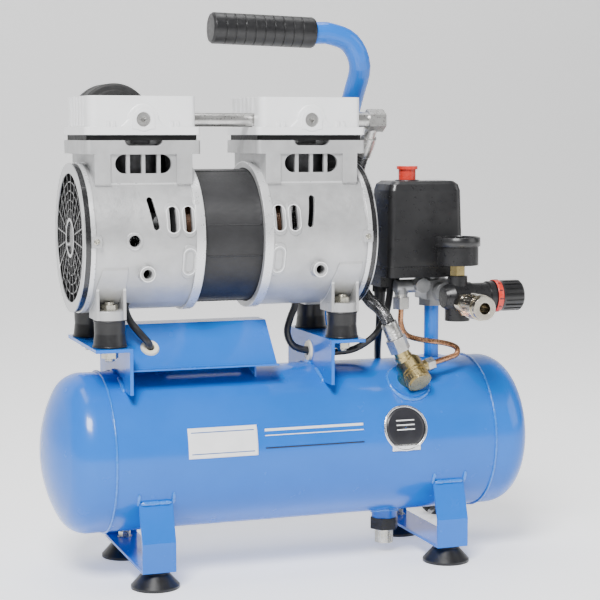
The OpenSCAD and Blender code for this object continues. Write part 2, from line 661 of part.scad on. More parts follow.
valve_out = 87;
valve_centre = [valve_x, -valve_out * sin(valve_tilt), tank_z + valve_out * cos(valve_tilt)];
copper_way = [1, 0.2, 0.22];
copper_reach = 15;
valve_axis = [0.16, -0.766, -0.622];
hose_end = hose_path[len(hose_path) - 1];
hose_in = tangent(hose_path, len(hose_path) - 1);
module at_valve() translate(valve_centre) children();
module check_valve_body() placed() color(brass) difference() {
    union() {
        translate([valve_x, 0, tank_z]) rotate([valve_tilt, 0, 0]) z_rod(7.98, tank_r - 3, valve_out);
        translate([valve_x, 0, tank_z]) rotate([valve_tilt, 0, 0]) z_rod(11, tank_r + 3, valve_out - 4);
        at_valve() tilt_to(valve_axis) {
            translate([0, 0, -12]) cylinder(r1 = 9.5, r2 = 12, h = 3.5);
            z_rod(12, -8.5, 4);
            z_rod(11.2, 4, 6);
            z_rod(12.2, 6, 7.6);
        }
        translate(hose_end) tilt_to(hose_in) {
            z_rod(7.2, 22, 37);
            z_rod(8, 27, 29.5);
        }
        at_valve() tilt_to(copper_way) z_rod(5.5, 0, copper_reach);
    }
    at_valve() tilt_to(valve_axis) {
        z_rod(7.5, -7, 8);
        z_rod(12.3, 7.6, 20);
    }
}
module check_valve_cap() placed() color(brass) at_valve() tilt_to(valve_axis) {
    difference() {
        z_rod(7.5, 3.5, 8);
        z_rod(4, 2, 7);
    }
    difference() {
        z_rod(11.6, 7.6, 15.4);
        for (k = [0 : 23]) rotate([0, 0, 15 * k]) span_box([11, -0.6, 8.6], [13, 0.6, 16]);
    }
    z_rod(9.8, 15.4, 16.2);
}
module check_valve_poppet() placed() color(black) at_valve() tilt_to(valve_axis) {
    z_rod(7.5 - running, -6.7, -3.5);
    z_rod(3.5, -3.6, 2.6);
}
module copper_tube() placed() color([0.72, 0.42, 0.24]) swept(curve(copper_route, 5), 2.6, 12);
module tube_nuts() placed() color(steel) {
    difference() {
        union() {
            z_rod(6, 243, 246, copper_route[0][0], copper_route[0][1]);
            translate([copper_route[0][0], copper_route[0][1], 232]) hex(14, 11);
        }
        z_rod(2.7, 231, 247, copper_route[0][0], copper_route[0][1]);
    }
    at_valve() tilt_to(copper_way) difference() {
        translate([0, 0, copper_reach]) hex(11, 8);
        z_rod(2.7, copper_reach - 1, copper_reach + 9);
    }
    translate(hose_end) tilt_to(hose_in) {
        z_rod(7.4, 0.4, 10);
        translate([0, 0, 9]) hex(17, 13);
    }
}
module riser_pipe() placed() color(cover) difference() {
    z_rod(6.98, tank_top - 3, riser_top, riser_x, riser_y);
    z_rod(5, tank_top - 4, riser_top + 1, riser_x, riser_y);
}
module manifold() placed() color(alloy) difference() {
    union() {
        translate([riser_x, riser_y, riser_top]) hex(22, 8);
        span_box([riser_x - 12, arm_y - 4, 240], [riser_x + 16, riser_y + 12, 258]);
        z_rod(13, 250, switch_base_z, riser_x, riser_y);
        x_rod(6.3, 98, riser_x - 10, arm_y, 253);
        z_rod(6.3, 246, 253, 104, arm_y);
        y_rod(7, arm_y - 13, arm_y, 121, 254);
        y_rod(9, arm_y - 14, arm_y, regulator_x, 247);
        y_rod(6, regulator_y + 15, arm_y - 10, regulator_x, 247);
    }
    z_rod(5, riser_top - 1, 250, riser_x, riser_y);
    z_rod(2.5, 245, 253, 104, arm_y);
    x_rod(3, 103, riser_x, arm_y, 253);
    y_rod(4, regulator_y + 14, riser_y, regulator_x, 247);
}
drain_low = tank_z - tank_r - 6;
module drain_valve() placed() color(black) translate([drain_x, drain_y, 0]) difference() {
    union() {
        translate([0, 0, drain_low - 11]) hex(24, 11);
        z_rod(5.48, drain_low - 1, drain_low + 8);
    }
    z_rod(4, drain_low - 12, drain_low + 9);
}
module drain_screw() placed() color(steel) translate([drain_x, drain_y, 0]) {
    z_rod(4 - running, drain_low - 12, drain_low - 2);
    difference() {
        z_rod(8.6, drain_low - 24.5, drain_low - 11.3);
        for (k = [0 : 17]) rotate([0, 0, 20 * k])
            span_box([8.1, -0.7, drain_low - 26], [10, 0.7, drain_low - 13]);
        z_rod(2.2, drain_low - 26, drain_low - 16);
    }
}

// ---------------------------------------------------------------- controls

module switch_slice(w, d, r, z) translate([switch_x, switch_y, z]) linear_extrude(0.5, $fn = hull_fn)
    round_rect(w, d, r);
module switch_form(inset) hull() {
    switch_slice(switch_w - 1 - 2 * inset, 51 - 2 * inset, 6, switch_base_z + 10);
    switch_slice(switch_w - 5 - 2 * inset, 47 - 2 * inset, 6, switch_top - 9 - inset);
    switch_slice(switch_w - 8 - 2 * inset, 44 - 2 * inset, 6, switch_top - 3.5 - inset);
    switch_slice(switch_w - 15 - 2 * inset, 37 - 2 * inset, 6, switch_top - 0.5 - inset);
}
module switch_cover() placed() color(black) difference() {
    switch_form(0);
    switch_form(2.5);
    translate([switch_x, switch_y, switch_base_z + 9]) linear_extrude(3) round_rect(switch_w - 6, 46, 5);
    z_rod(8.5, switch_top - 10, switch_top + 1, knob_x, knob_y);
}
module switch_base() placed() color(black) difference() {
    union() {
        translate([switch_x, switch_y, switch_base_z]) linear_extrude(10) round_rect(switch_w, 52, 6);
        translate([switch_x, switch_y, switch_base_z + 9]) linear_extrude(31) round_rect(58, 34, 3);
        span_box([86.5, -12.8, 252], [105.5, 16, switch_base_z + 1]);
    }
    for (place = [mains_gland, motor_gland]) z_rod(5.5, 251, 259, place[0], place[1]);
}
module switch_knob() placed() color([0.87, 0.32, 0.25]) translate([knob_x, knob_y, 0]) {
    z_rod(8, 318, 361);
    z_rod(9.8, 361, 364);
}
module cable_glands() placed() color(black) {
    translate([mains_gland[0], mains_gland[1], 0]) difference() {
        union() {
            z_rod(5.5, 250, 259);
            translate([0, 0, 246]) hex(13, 6);
            translate([0, 0, 225]) cylinder(r1 = mains_r + 0.8, r2 = 5.6, h = 21);
        }
        z_rod(mains_r, 224, 231);
    }
    translate([motor_gland[0], motor_gland[1], 0]) {
        z_rod(5.5, 251, 259);
        translate([0, 0, 250]) hex(11, 2);
    }
}
module regulator_body() placed() color(black) translate([regulator_x, regulator_y, 0]) difference() {
    union() {
        translate([-14.5, 0, regulator_z]) rotate([0, 90, 0]) cylinder(r1 = 9.5, r2 = 13.5, h = 8);
        x_rod(13.5, -6.6, 12, 0, regulator_z);
        z_rod(9, 250, stem_z);
        z_rod(11.4, 224, 246);
        x_rod(12.5, 11, 31, 0, regulator_z);
        x_rod(13.6, 29, 34.5, 0, regulator_z);
        x_rod(14.3, 35, 40.4, 0, regulator_z);
        x_rod(9, 34, 54, 0, regulator_z);
        y_rod(9, 10, 15, 0, 247);
        y_rod(9, coupler_seat, -10, 0, coupler_z);
    }
    x_rod(8, -10, 9, 0, regulator_z);
    z_rod(2.5, regulator_z, stem_z + 1);
    y_rod(4, 0, 16, 0, 247);
    y_rod(5, coupler_seat - 1, 0, 0, coupler_z);
}
module regulator_knob() placed() color(black) translate([regulator_x, regulator_y, regulator_z]) difference() {
    union() {
        x_rod(14.2, 40.9, 60.5);
        translate([60.5, 0, 0]) rotate([0, 90, 0]) cylinder(r1 = 14.2, r2 = 12.6, h = 1.7);
    }
    for (k = [0 : 17]) rotate([20 * k, 0, 0]) span_box([43, -1.1, 13], [63, 1.1, 16]);
    x_rod(9 + running, 40, 55);
}
gauge_z = 275;
gauge_top = 300;
module gauge_case() placed() color(black) translate([regulator_x, regulator_y, 0]) {
    difference() {
        union() {
            z_rod(gauge_r, gauge_z, gauge_top - 8);
            z_rod(gauge_r + 1.3, gauge_top - 8, gauge_top);
        }
        z_rod(gauge_r - 1, gauge_top - 10, gauge_top + 1);
    }
    translate([0, 0, stem_z]) hex(12.4, gauge_z - stem_z + 0.5);
    z_rod(2.48, stem_z - 5, stem_z + 1);
    z_rod(1, gauge_top - 10.5, gauge_top - 5.5);
}
module gauge_glass() placed() color([0.85, 0.90, 0.92], 0.4) translate([regulator_x, regulator_y, 0])
    z_rod(gauge_r - 1, gauge_top - 4.5, gauge_top - 2.5);
module gauge_needle() placed() color([0.85, 0.2, 0.15]) translate([regulator_x, regulator_y, gauge_top - 8.5])
    rotate([0, 0, 45]) difference() {
        union() {
            z_rod(2.6, 0, 1.6);
            translate([0, 0, 0.3]) linear_extrude(0.8)
                polygon([[-1, 0], [0, -14], [1, 0], [0.8, 5], [-0.8, 5]]);
        }
        z_rod(1 + running, -1, 3);
    }
module coupler_body() placed() color([0.80, 0.78, 0.70]) translate([regulator_x, 0, coupler_z]) difference() {
    union() {
        y_rod(5 - fit, regulator_y + coupler_seat - 2, regulator_y - 8);
        translate([0, regulator_y + coupler_seat, 0]) rotate([90, 0, 0]) hex(19, 8);
        y_rod(9.4, 6 - front_y, regulator_y + coupler_seat - 7);
        y_rod(10.6, -front_y, 7 - front_y);
    }
    y_rod(coupler_bore_r, -front_y - 1, 34 - front_y);
    y_rod(3, -front_y, regulator_y - 7);
}
module coupler_sleeve() placed() color(steel) translate([regulator_x, 0, coupler_z]) difference() {
    y_rod(11.7, 7.3 - front_y, 24 - front_y);
    y_rod(9.4 + running, 7 - front_y, 25 - front_y);
    for (k = [0 : 23]) rotate([0, 15 * k, 0])
        span_box([11.3, 12 - front_y, -0.5], [13, 22 - front_y, 0.5]);
}

// ---------------------------------------------------------------- cables

module motor_cables() placed() color(black) {
    swept(curve(motor_route, 4), 3.3, 10);
    swept(curve(capacitor_route, 4), 3.3, 10);
}
module mains_lead() placed() color(black) swept(curve(mains_route, 3), mains_r, 10);
module mains_coil() placed() color(black) translate([coil_x, coil_y, 0]) rotate_extrude()
    translate([coil_mean_r, mains_d]) round_rect(coil_across * mains_d, 2 * mains_d, mains_r);
module mains_plug() placed() color(black) {
    swept(curve(tail_route, 4), mains_r, 10);
    translate([plug_x, plug_y, plug_r]) tilt_to(plug_way) {
        z_rod(plug_r, 0, 14);
        translate([0, 0, -16]) cylinder(r1 = 9, r2 = plug_r, h = 16);
        translate([0, 0, -38]) cylinder(r1 = mains_r + 0.8, r2 = 7, h = 22.5);
        for (s = [-1, 1]) translate([0, s * 9.5, 0]) z_rod(2.4, 13, 33);
    }
}

tank_shell();
tank_ends();
foot_strap_left();
foot_strap_right();
rubber_feet();
foot_screws();
motor_bracket_left();
motor_bracket_right();
grommets();
capacitor_cover();
capacitor();
handle_tube();
handle_grip();
rubber_mounts();
mount_screws();
crankcase_left();
crankcase_right();
stator();
stator_windings();
motor_shaft();
rotor();
bearings();
cooling_fans();
fan_guards();
cylinder_sleeves();
piston_left();
piston_right();
valve_plates();
cylinder_head_left();
cylinder_head_right();
head_screws();
head_plugs();
transfer_tube();
intake_filter();
outlet_elbow();
braided_hose();
check_valve_body();
check_valve_cap();
check_valve_poppet();
copper_tube();
tube_nuts();
riser_pipe();
manifold();
switch_base();
switch_cover();
switch_knob();
cable_glands();
regulator_body();
regulator_knob();
gauge_case();
gauge_glass();
gauge_needle();
coupler_body();
coupler_sleeve();
drain_valve();
drain_screw();
motor_cables();
mains_lead();
mains_coil();
mains_plug();
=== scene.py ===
import math
import random

import bmesh
import bpy
from mathutils import Matrix, Vector, noise


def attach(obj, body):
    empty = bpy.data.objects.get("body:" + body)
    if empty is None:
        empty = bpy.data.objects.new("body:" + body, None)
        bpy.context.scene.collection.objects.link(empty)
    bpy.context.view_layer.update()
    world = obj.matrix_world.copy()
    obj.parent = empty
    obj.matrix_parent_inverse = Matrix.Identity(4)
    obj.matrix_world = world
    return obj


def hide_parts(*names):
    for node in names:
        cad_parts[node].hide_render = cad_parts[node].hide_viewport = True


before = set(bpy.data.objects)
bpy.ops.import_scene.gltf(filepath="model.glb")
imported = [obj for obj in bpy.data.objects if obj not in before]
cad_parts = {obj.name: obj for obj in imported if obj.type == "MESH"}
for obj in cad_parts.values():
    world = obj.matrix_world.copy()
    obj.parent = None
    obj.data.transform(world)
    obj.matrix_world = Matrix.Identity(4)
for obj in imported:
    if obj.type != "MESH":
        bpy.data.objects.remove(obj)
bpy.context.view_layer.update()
random.seed(7)

# Places of the layout, in mm
FRONT_SHIFT = 9.0  # the layout's Y is this much less than the frame's
TANK_R, TANK_Z = 71.5, 111.5  # the tank's skin and axis
MOTOR_X, MOTOR_Z = -70.0, 303.0  # the motor's middle; its shaft runs along X at y = 0
NECK_X = 76.4  # from the motor's middle to a cylinder's axis
PORT_Z = 406  # the ports of the heads
GAUGE_X, GAUGE_Y = 142.5, -61  # the axis of the gauge and regulator
UP, DOWN = (0, 0, 1), (0, 0, -1)


def at(x, y, z):
    """A point of the layout, in mm from the tank's axis, as metres in the frame."""
    return Vector((x, y + FRONT_SHIFT, z)) / 1000


# ------------------------------------------------------------------ camera

camera = bpy.data.objects.new("camera", bpy.data.cameras.new("camera"))
bpy.context.collection.objects.link(camera)
camera.location = at(-488.8, -1432.7, 393.0)
LOOK_DOWN, TURN_RIGHT = 5.71, 19.25  # degrees
camera.rotation_euler = (math.radians(90 - LOOK_DOWN), 0, math.radians(-TURN_RIGHT))
camera.data.sensor_width = 36
camera.data.lens = 99.2
camera.data.clip_start = 0.05
bpy.context.scene.camera = camera

# ------------------------------------------------------------------ shader helpers


def link(nt, a, b):
    nt.links.new(a, b)


def place(nt, stretch=(1, 1, 1)):
    """The surface point in the piece's own space."""
    c = nt.nodes.new("ShaderNodeTexCoord")
    m = nt.nodes.new("ShaderNodeMapping")
    m.inputs["Scale"].default_value = stretch
    link(nt, c.outputs["Object"], m.inputs["Vector"])
    return m.outputs["Vector"]


def grain(nt, scale, detail=3, rough=0.55, stretch=(1, 1, 1)):
    """Noise from 0 to 1."""
    n = nt.nodes.new("ShaderNodeTexNoise")
    n.inputs["Scale"].default_value = scale
    n.inputs["Detail"].default_value = detail
    n.inputs["Roughness"].default_value = rough
    link(nt, place(nt, stretch), n.inputs["Vector"])
    return n.outputs["Fac"]


NOISE_LOW, NOISE_HIGH = 0.3, 0.7  # nearly all of a noise lies between these


def spread(nt, fac, low, high):
    """Noise becomes a value from low to high."""
    m = nt.nodes.new("ShaderNodeMapRange")
    m.inputs["From Min"].default_value = NOISE_LOW
    m.inputs["From Max"].default_value = NOISE_HIGH
    m.inputs["To Min"].default_value = low
    m.inputs["To Max"].default_value = high
    link(nt, fac, m.inputs["Value"])
    return m.outputs["Result"]


def mix_colour(nt, fac, a, b):
    """From a at 0 to b at 1; each is a colour or a socket."""
    m = nt.nodes.new("ShaderNodeMix")
    m.data_type = "RGBA"
    for socket, value in ((m.inputs[6], a), (m.inputs[7], b)):
        if isinstance(value, tuple):
            socket.default_value = (*value, 1)
        else:
            link(nt, value, socket)
    link(nt, fac, m.inputs[0])
    return m.outputs[2]


def calc(nt, op, a, b=None):
    """One step of arithmetic between sockets or numbers."""
    m = nt.nodes.new("ShaderNodeMath")
    m.operation = op
    for socket, value in ((m.inputs[0], a), (m.inputs[1], b)):
        if value is None:
            continue
        if isinstance(value, (int, float)):
            socket.default_value = value
        else:
            link(nt, value, socket)
    return m.outputs[0]


def bump(nt, height, depth, strength=1.0, before=None):
    """A relief, depth metres from 0 to 1 of the height, on top of the normal before it."""
    b = nt.nodes.new("ShaderNodeBump")
    b.inputs["Strength"].default_value = strength
    b.inputs["Distance"].default_value = depth
    link(nt, height, b.inputs["Height"])
    if before is not None:
        link(nt, before, b.inputs["Normal"])
    return b.outputs["Normal"]


def soft_edges(nt, radius):
    """A normal that rounds sharp edges over the radius, in metres."""
    b = nt.nodes.new("ShaderNodeBevel")
    b.samples = 4
    b.inputs["Radius"].default_value = radius
    return b.outputs["Normal"]


def parts(m):
    """A material's node tree and its shader."""
    return m.node_tree, m.node_tree.nodes["Principled BSDF"]


def new_material(name):
    """A material, its node tree and its shader."""
    m = bpy.data.materials.new(name)
    m.use_nodes = True
    return m, *parts(m)


def finish_of(
    name,
    dark,
    light,
    rough,
    metal=0.0,
    patch=30,
    bumps=((900, 0.00004),),
    coat=0.0,
    edge=0.0005,
    stretch=(1, 1, 1),
    spec=0.5,
):
    """A surface whose colour wanders between dark and light, and its roughness between two values."""
    m, nt, p = new_material(name)
    p.inputs["Metallic"].default_value = metal
    p.inputs["Specular IOR Level"].default_value = spec
    p.inputs["Coat Weight"].default_value = coat
    p.inputs["Coat Roughness"].default_value = 0.06
    fac = grain(nt, patch, 4, 0.6, stretch)
    link(nt, mix_colour(nt, spread(nt, fac, 0, 1), dark, light), p.inputs["Base Color"])
    fine = grain(nt, patch * 6, 3, 0.6, stretch)
    link(nt, spread(nt, fine, rough[0], rough[1]), p.inputs["Roughness"])
    normal = soft_edges(nt, edge) if edge else None
    for scale, depth in bumps:
        normal = bump(nt, grain(nt, scale, 3, 0.6, stretch), depth, 1.0, normal)
    if normal is not None:
        link(nt, normal, p.inputs["Normal"])
    return m


BLUE_D, BLUE_L = (0.003, 0.125, 0.540), (0.005, 0.148, 0.620)
blue = finish_of("blue_paint", BLUE_D, BLUE_L, (0.20, 0.28), patch=9, coat=0.25, spec=0.30,
                 bumps=((160, 0.00004), (1500, 0.000008)), edge=0.0008)
# Painted highlight: the beads are painted over with the tank's blue, and their lighter blues paint the
# highlights on the beads.
weld_paint_and_highlight = finish_of("painted_weld", (0.005, 0.140, 0.540), (0.012, 0.200, 0.700), (0.18, 0.34), patch=220,
                 coat=0.6, bumps=((900, 0.0002),), edge=0)
cast = finish_of("sand_cast_alloy", (0.40, 0.402, 0.405), (0.54, 0.542, 0.545), (0.36, 0.50), metal=0.5,
                 patch=26, bumps=((300, 0.00016), (1500, 0.00012)), edge=0.0010)
head_alloy = finish_of("blasted_alloy", (0.84, 0.845, 0.85), (0.90, 0.905, 0.91), (0.32, 0.46), metal=0.15,
                       patch=26, bumps=((500, 0.00007), (2000, 0.00005)), edge=0.0011)
grey_cast = finish_of("pressure_cast_alloy", (0.26, 0.265, 0.27), (0.38, 0.385, 0.39), (0.30, 0.46),
                      metal=0.7, patch=60, bumps=((700, 0.00008),), edge=0.0006)
# Painted shade: the sleeves are near-black to stand for the shade behind the necks' windows.
sleeve_shade_alloy = finish_of("painted_shade_alloy", (0.05, 0.05, 0.052), (0.12, 0.12, 0.125), (0.34, 0.50), metal=0.8,
                       patch=60, bumps=((900, 0.00005),), edge=0.0004)
guard = finish_of("guard_plastic", (0.010, 0.010, 0.011), (0.022, 0.022, 0.023), (0.18, 0.32), patch=70,
                  coat=0.4, bumps=((1200, 0.00004),), edge=0.0003)
bright = finish_of("turned_alloy", (0.72, 0.73, 0.74), (0.86, 0.87, 0.88), (0.18, 0.32), metal=0.95, patch=60,
                   bumps=((1500, 0.00002),), edge=0.0003)
core = finish_of("stator_steel", (0.018, 0.018, 0.019), (0.028, 0.028, 0.030), (0.36, 0.50), metal=0.1,
                 spec=0.35, patch=70, bumps=((900, 0.00008),), edge=0.0003)
steel = finish_of("ground_steel", (0.52, 0.53, 0.54), (0.68, 0.69, 0.70), (0.22, 0.36), metal=1.0, patch=80,
                  bumps=((1400, 0.00002),), edge=0.0003)
nickel = finish_of("nickel", (0.46, 0.455, 0.44), (0.62, 0.615, 0.60), (0.24, 0.40), metal=0.9, patch=90,
                   bumps=((700, 0.00003),), edge=0.0005)
warm_nickel = finish_of("warm_nickel", (0.50, 0.46, 0.38), (0.70, 0.66, 0.57), (0.12, 0.24), metal=1.0,
                        patch=80, bumps=((700, 0.00002),), edge=0.0005)
zinc = finish_of("zinc", (0.52, 0.50, 0.42), (0.70, 0.68, 0.60), (0.20, 0.38), metal=1.0, patch=120,
                 bumps=((900, 0.00003),), edge=0.0004)
brass = finish_of("plated_brass", (0.38, 0.29, 0.12), (0.50, 0.40, 0.19), (0.24, 0.38), metal=1.0, patch=110,
                  bumps=((500, 0.00005),), edge=0.0005)
copper = finish_of("copper", (0.50, 0.24, 0.12), (0.70, 0.38, 0.21), (0.20, 0.34), metal=1.0, patch=120,
                   bumps=((600, 0.00004),), edge=0)
rubber = finish_of("black_rubber", (0.008, 0.008, 0.009), (0.016, 0.016, 0.017), (0.30, 0.44), patch=60,
                   bumps=((300, 0.00005), (2500, 0.00002)), edge=0.0008)
cable = finish_of("cable_jacket", (0.009, 0.009, 0.010), (0.017, 0.017, 0.018), (0.28, 0.42), patch=90,
                  bumps=((900, 0.00003),), edge=0)
gloss = finish_of("gloss_black", (0.010, 0.010, 0.011), (0.020, 0.020, 0.021), (0.26, 0.38), patch=30,
                  coat=0.15, bumps=((350, 0.00002), (2400, 0.00001)), edge=0.0010)
satin = finish_of("satin_black", (0.008, 0.008, 0.009), (0.017, 0.017, 0.018), (0.24, 0.40), patch=60,
                  spec=0.4, bumps=((1200, 0.00006),), edge=0.0006)
cream = finish_of("cream_rubber", (0.66, 0.62, 0.48), (0.78, 0.75, 0.62), (0.42, 0.56), patch=120,
                  bumps=((900, 0.00004),), edge=0.0005)
red = finish_of("red_plastic", (0.52, 0.028, 0.016), (0.64, 0.045, 0.026), (0.22, 0.36), patch=60,
                bumps=((1200, 0.00002),), edge=0.0006)
white = finish_of("label_white", (0.78, 0.79, 0.79), (0.86, 0.86, 0.86), (0.30, 0.42), patch=50,
                  bumps=((1500, 0.00001),), edge=0)
ink = finish_of("label_ink", (0.012, 0.012, 0.015), (0.022, 0.022, 0.028), (0.28, 0.40), patch=80,
                bumps=((1500, 0.00001),), edge=0)
line_blue = finish_of("label_blue", (0.02, 0.10, 0.34), (0.03, 0.14, 0.42), (0.30, 0.42), patch=80,
                      bumps=((1500, 0.00001),), edge=0)
winding = finish_of("enamelled_wire", (0.035, 0.018, 0.010), (0.11, 0.055, 0.030), (0.20, 0.34), metal=0.5,
                    patch=200, bumps=((300, 0.0004),), edge=0, stretch=(6, 1, 1))
foam = finish_of("filter_black", (0.010, 0.010, 0.010), (0.024, 0.024, 0.024), (0.50, 0.70), patch=200,
                 bumps=((700, 0.00025),), edge=0.0006)
# Painted shade: the valve plates are near-black with little sheen, to stand for the shade in the narrow gap
# between each head and its crankcase.
valve_plate_shade = finish_of("valve_plate_painted_shade", (0.004, 0.004, 0.004), (0.009, 0.009, 0.009), (0.40, 0.60), patch=80,
                   spec=0.2, bumps=((900, 0.00006),), edge=0)
wire_mesh = finish_of("braid_wire", (0.05, 0.05, 0.052), (0.34, 0.34, 0.345), (0.18, 0.30), metal=1.0,
                      patch=500, bumps=((2500, 0.00003),), edge=0)

# ------------------------------------------------------------------ looks that change over a surface

# Places below are in metres, as shaders see them
NECK, NECK_HALF = NECK_X / 1000, 0.0384


def xyz_of(nt):
    """The three coordinates of the surface point."""
    xyz = nt.nodes.new("ShaderNodeSeparateXYZ")
    link(nt, place(nt), xyz.inputs[0])
    return xyz.outputs


def both(nt, a, b):
    """The product, which for masks is 1 where both are 1."""
    return calc(nt, "MULTIPLY", a, b)


def above(nt, value, low):
    return calc(nt, "GREATER_THAN", value, low)


def below(nt, value, high):
    return calc(nt, "LESS_THAN", value, high)


def between(nt, value, low, high):
    return both(nt, above(nt, value, low), below(nt, value, high))


def from_middle(nt, y):
    """Distance from the plane through the motor's shaft and the cylinders' axes."""
    return calc(nt, "ABSOLUTE", calc(nt, "SUBTRACT", y, FRONT_SHIFT / 1000))


def from_shaft(nt):
    """Radius from the motor's shaft, and distance along it from the motor's middle."""
    x, y, z = xyz_of(nt)
    dy = calc(nt, "SUBTRACT", y, FRONT_SHIFT / 1000)
    dz = calc(nt, "SUBTRACT", z, MOTOR_Z / 1000)
    radius = calc(nt, "SQRT", calc(nt, "ADD", both(nt, dy, dy), both(nt, dz, dz)))
    return radius, calc(nt, "ABSOLUTE", calc(nt, "SUBTRACT", x, MOTOR_X / 1000))


def bare_metal_and_painted_shade(m, mask_of, colour, smoother):
    """Where the mask is 1: another colour, and a roughness less by smoother, which may be negative. The
    colour is bare metal at rims and rings, and painted shade in hollows.
    """
    nt, p = parts(m)
    mask = mask_of(nt)
    colour_link = p.inputs["Base Color"].links[0].from_socket
    link(nt, mix_colour(nt, mask, colour_link, colour), p.inputs["Base Color"])
    rough_link = p.inputs["Roughness"].links[0].from_socket
    link(nt, calc(nt, "SUBTRACT", rough_link, both(nt, mask, smoother)), p.inputs["Roughness"])
    return nt, p, mask


def rim_mask(nt):
    """The turned edge of a crankcase's mouth."""
    radius, _ = from_shaft(nt)
    return between(nt, radius, 0.0653, 0.0664)


def guard_mask(nt):
    """The guard's metal face ring, and the edge of its hub."""
    radius, along = from_shaft(nt)
    face = both(nt, above(nt, radius, 0.0562), above(nt, along, 0.1316))
    hub = both(nt, between(nt, radius, 0.0143, 0.0176), above(nt, along, 0.1321))
    return calc(nt, "MAXIMUM", face, hub)


def inside_shade_mask(nt):
    """The rough inner walls of a crankcase and its neck, where painted shade darkens them."""
    _, y, z = xyz_of(nt)
    radius, along = from_shaft(nt)
    chamber = below(nt, radius, 0.0606)
    neck = both(nt, below(nt, from_middle(nt, y), 0.0413), between(nt, z, 0.320, 0.3765))
    neck = both(nt, neck, between(nt, along, NECK - NECK_HALF, NECK + NECK_HALF))
    return calc(nt, "MAXIMUM", chamber, neck)


def fin_gap_shade_mask(nt):
    """The floors of the gaps between the fins of a head, which take painted shade."""
    _, y, z = xyz_of(nt)
    _, along = from_shaft(nt)
    x = calc(nt, "ABSOLUTE", calc(nt, "SUBTRACT", along, NECK))
    floors = both(nt, between(nt, x, 0.0447, 0.0453), below(nt, from_middle(nt, y), 0.030))
    return both(nt, floors, between(nt, z, 0.4009, 0.4261))


# Painted shade: the floors of the fin gaps are dark grey where shade falls between the fins.
bare_metal_and_painted_shade(head_alloy, fin_gap_shade_mask, (0.16, 0.162, 0.165), -0.1)
bare_metal_and_painted_shade(cast, rim_mask, (0.74, 0.745, 0.75), 0.12)
# Painted shade: the inner walls of the crankcases and necks are near-black where shade falls inside, and they
# are also rougher.
bare_metal_and_painted_shade(cast, inside_shade_mask, (0.035, 0.035, 0.036), -0.2)
nt, p, mask = bare_metal_and_painted_shade(guard, guard_mask, (0.60, 0.605, 0.61), -0.12)
link(nt, both(nt, mask, 0.8), p.inputs["Metallic"])

# Laminations of the stator
nt, p = parts(core)
wave = nt.nodes.new("ShaderNodeTexWave")
wave.bands_direction = "X"
wave.inputs["Scale"].default_value = 320
wave.inputs["Distortion"].default_value = 0.3
wave.inputs["Detail"].default_value = 1
link(nt, place(nt), wave.inputs["Vector"])
normal = p.inputs["Normal"].links[0].from_socket
link(nt, bump(nt, wave.outputs["Fac"], 0.00010, 0.8, normal), p.inputs["Normal"])

glass, nt, p = new_material("gauge_lens")
p.inputs["Transmission Weight"].default_value = 1.0
p.inputs["Base Color"].default_value = (0.96, 0.98, 0.99, 1)
p.inputs["IOR"].default_value = 1.46
link(nt, spread(nt, grain(nt, 40), 0.01, 0.05), p.inputs["Roughness"])

# ------------------------------------------------------------------ mesh helpers

SHARP = math.radians(38)  # edges steeper than this stay sharp


def piece(name, points, faces, material, body="frame", smooth=True, slot=None):
    """A named object from a mesh in the frame. smooth may be "all", which leaves no sharp edges."""
    mesh = bpy.data.meshes.new(name)
    mesh.from_pydata([tuple(q) for q in points], [], faces)
    mesh.validate()
    mesh.materials.append(material)
    # Join doubled points, and turn every face outwards
    shell = bmesh.new()
    shell.from_mesh(mesh)
    bmesh.ops.remove_doubles(shell, verts=shell.verts, dist=1e-7)
    bmesh.ops.recalc_face_normals(shell, faces=shell.faces)
    shell.to_mesh(mesh)
    shell.free()
    mesh.update()
    o = bpy.data.objects.new(name, mesh)
    bpy.context.collection.objects.link(o)
    if smooth:
        for poly in mesh.polygons:
            poly.use_smooth = True
        if smooth != "all":
            mesh.set_sharp_from_angle(angle=SHARP)
    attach(o, body)
    return o


def spline(points, steps):
    """Catmull-Rom curve through the points, the same as the CAD's."""
    pts = [Vector(q) for q in points]
    ends = [pts[0], *pts, pts[-1]]
    out = []
    for i in range(len(pts) - 1):
        a, b, c, d = ends[i:i + 4]
        for k in range(steps):
            t = k / steps
            out.append(0.5 * (2 * b + (c - a) * t + (2 * a - 5 * b + 4 * c - d) * t * t
                              + (3 * b - a - 3 * c + d) * t ** 3))
    return out + [pts[-1]]


def frames(path, closed=False):
    """The direction of a path at each of its points, and two directions across it, without twist."""
    n = len(path)
    tangents = []
    for i in range(n):
        a = path[(i - 1) % n] if closed else path[max(0, i - 1)]
        b = path[(i + 1) % n] if closed else path[min(n - 1, i + 1)]
        tangents.append((b - a).normalized())
    up = Vector((0, 0, 1)) if abs(tangents[0].z) < 0.7 else Vector((1, 0, 0))
    out = []
    for t in tangents:
        up = (up - up.dot(t) * t).normalized()
        out.append((t, up, t.cross(up)))
    return out


def tube_faces(rings, sides, closed=False):
    """Faces between rings of points that follow one another. closed joins the last to the first, or else
    both ends get a cap."""
    faces = []
    for i in range(rings if closed else rings - 1):
        j = (i + 1) % rings
        for k in range(sides):
            m = (k + 1) % sides
            faces.append((i * sides + k, i * sides + m, j * sides + m, j * sides + k))
    if not closed:
        faces.append(tuple(reversed(range(sides))))
        faces.append(tuple(range((rings - 1) * sides, rings * sides)))
    return faces


def sweep(path, radius, sides=12, closed=False):
    """Points and faces of a round tube along a path. radius may be a function of the ring's number and the
    angle round it. Lengths in metres."""
    pts = []
    for i, (c, (_, u, v)) in enumerate(zip(path, frames(path, closed))):
        for k in range(sides):
            a = math.tau * k / sides
            r = radius(i, a) if callable(radius) else radius
            pts.append(c + (u * math.cos(a) + v * math.sin(a)) * r)
    return pts, tube_faces(len(path), sides, closed)


def basis(origin, direction):
    """A frame at the origin whose Z runs along the direction."""
    q = Vector(direction).normalized().to_track_quat("Z", "Y")
    return Matrix.Translation(origin) @ q.to_matrix().to_4x4()


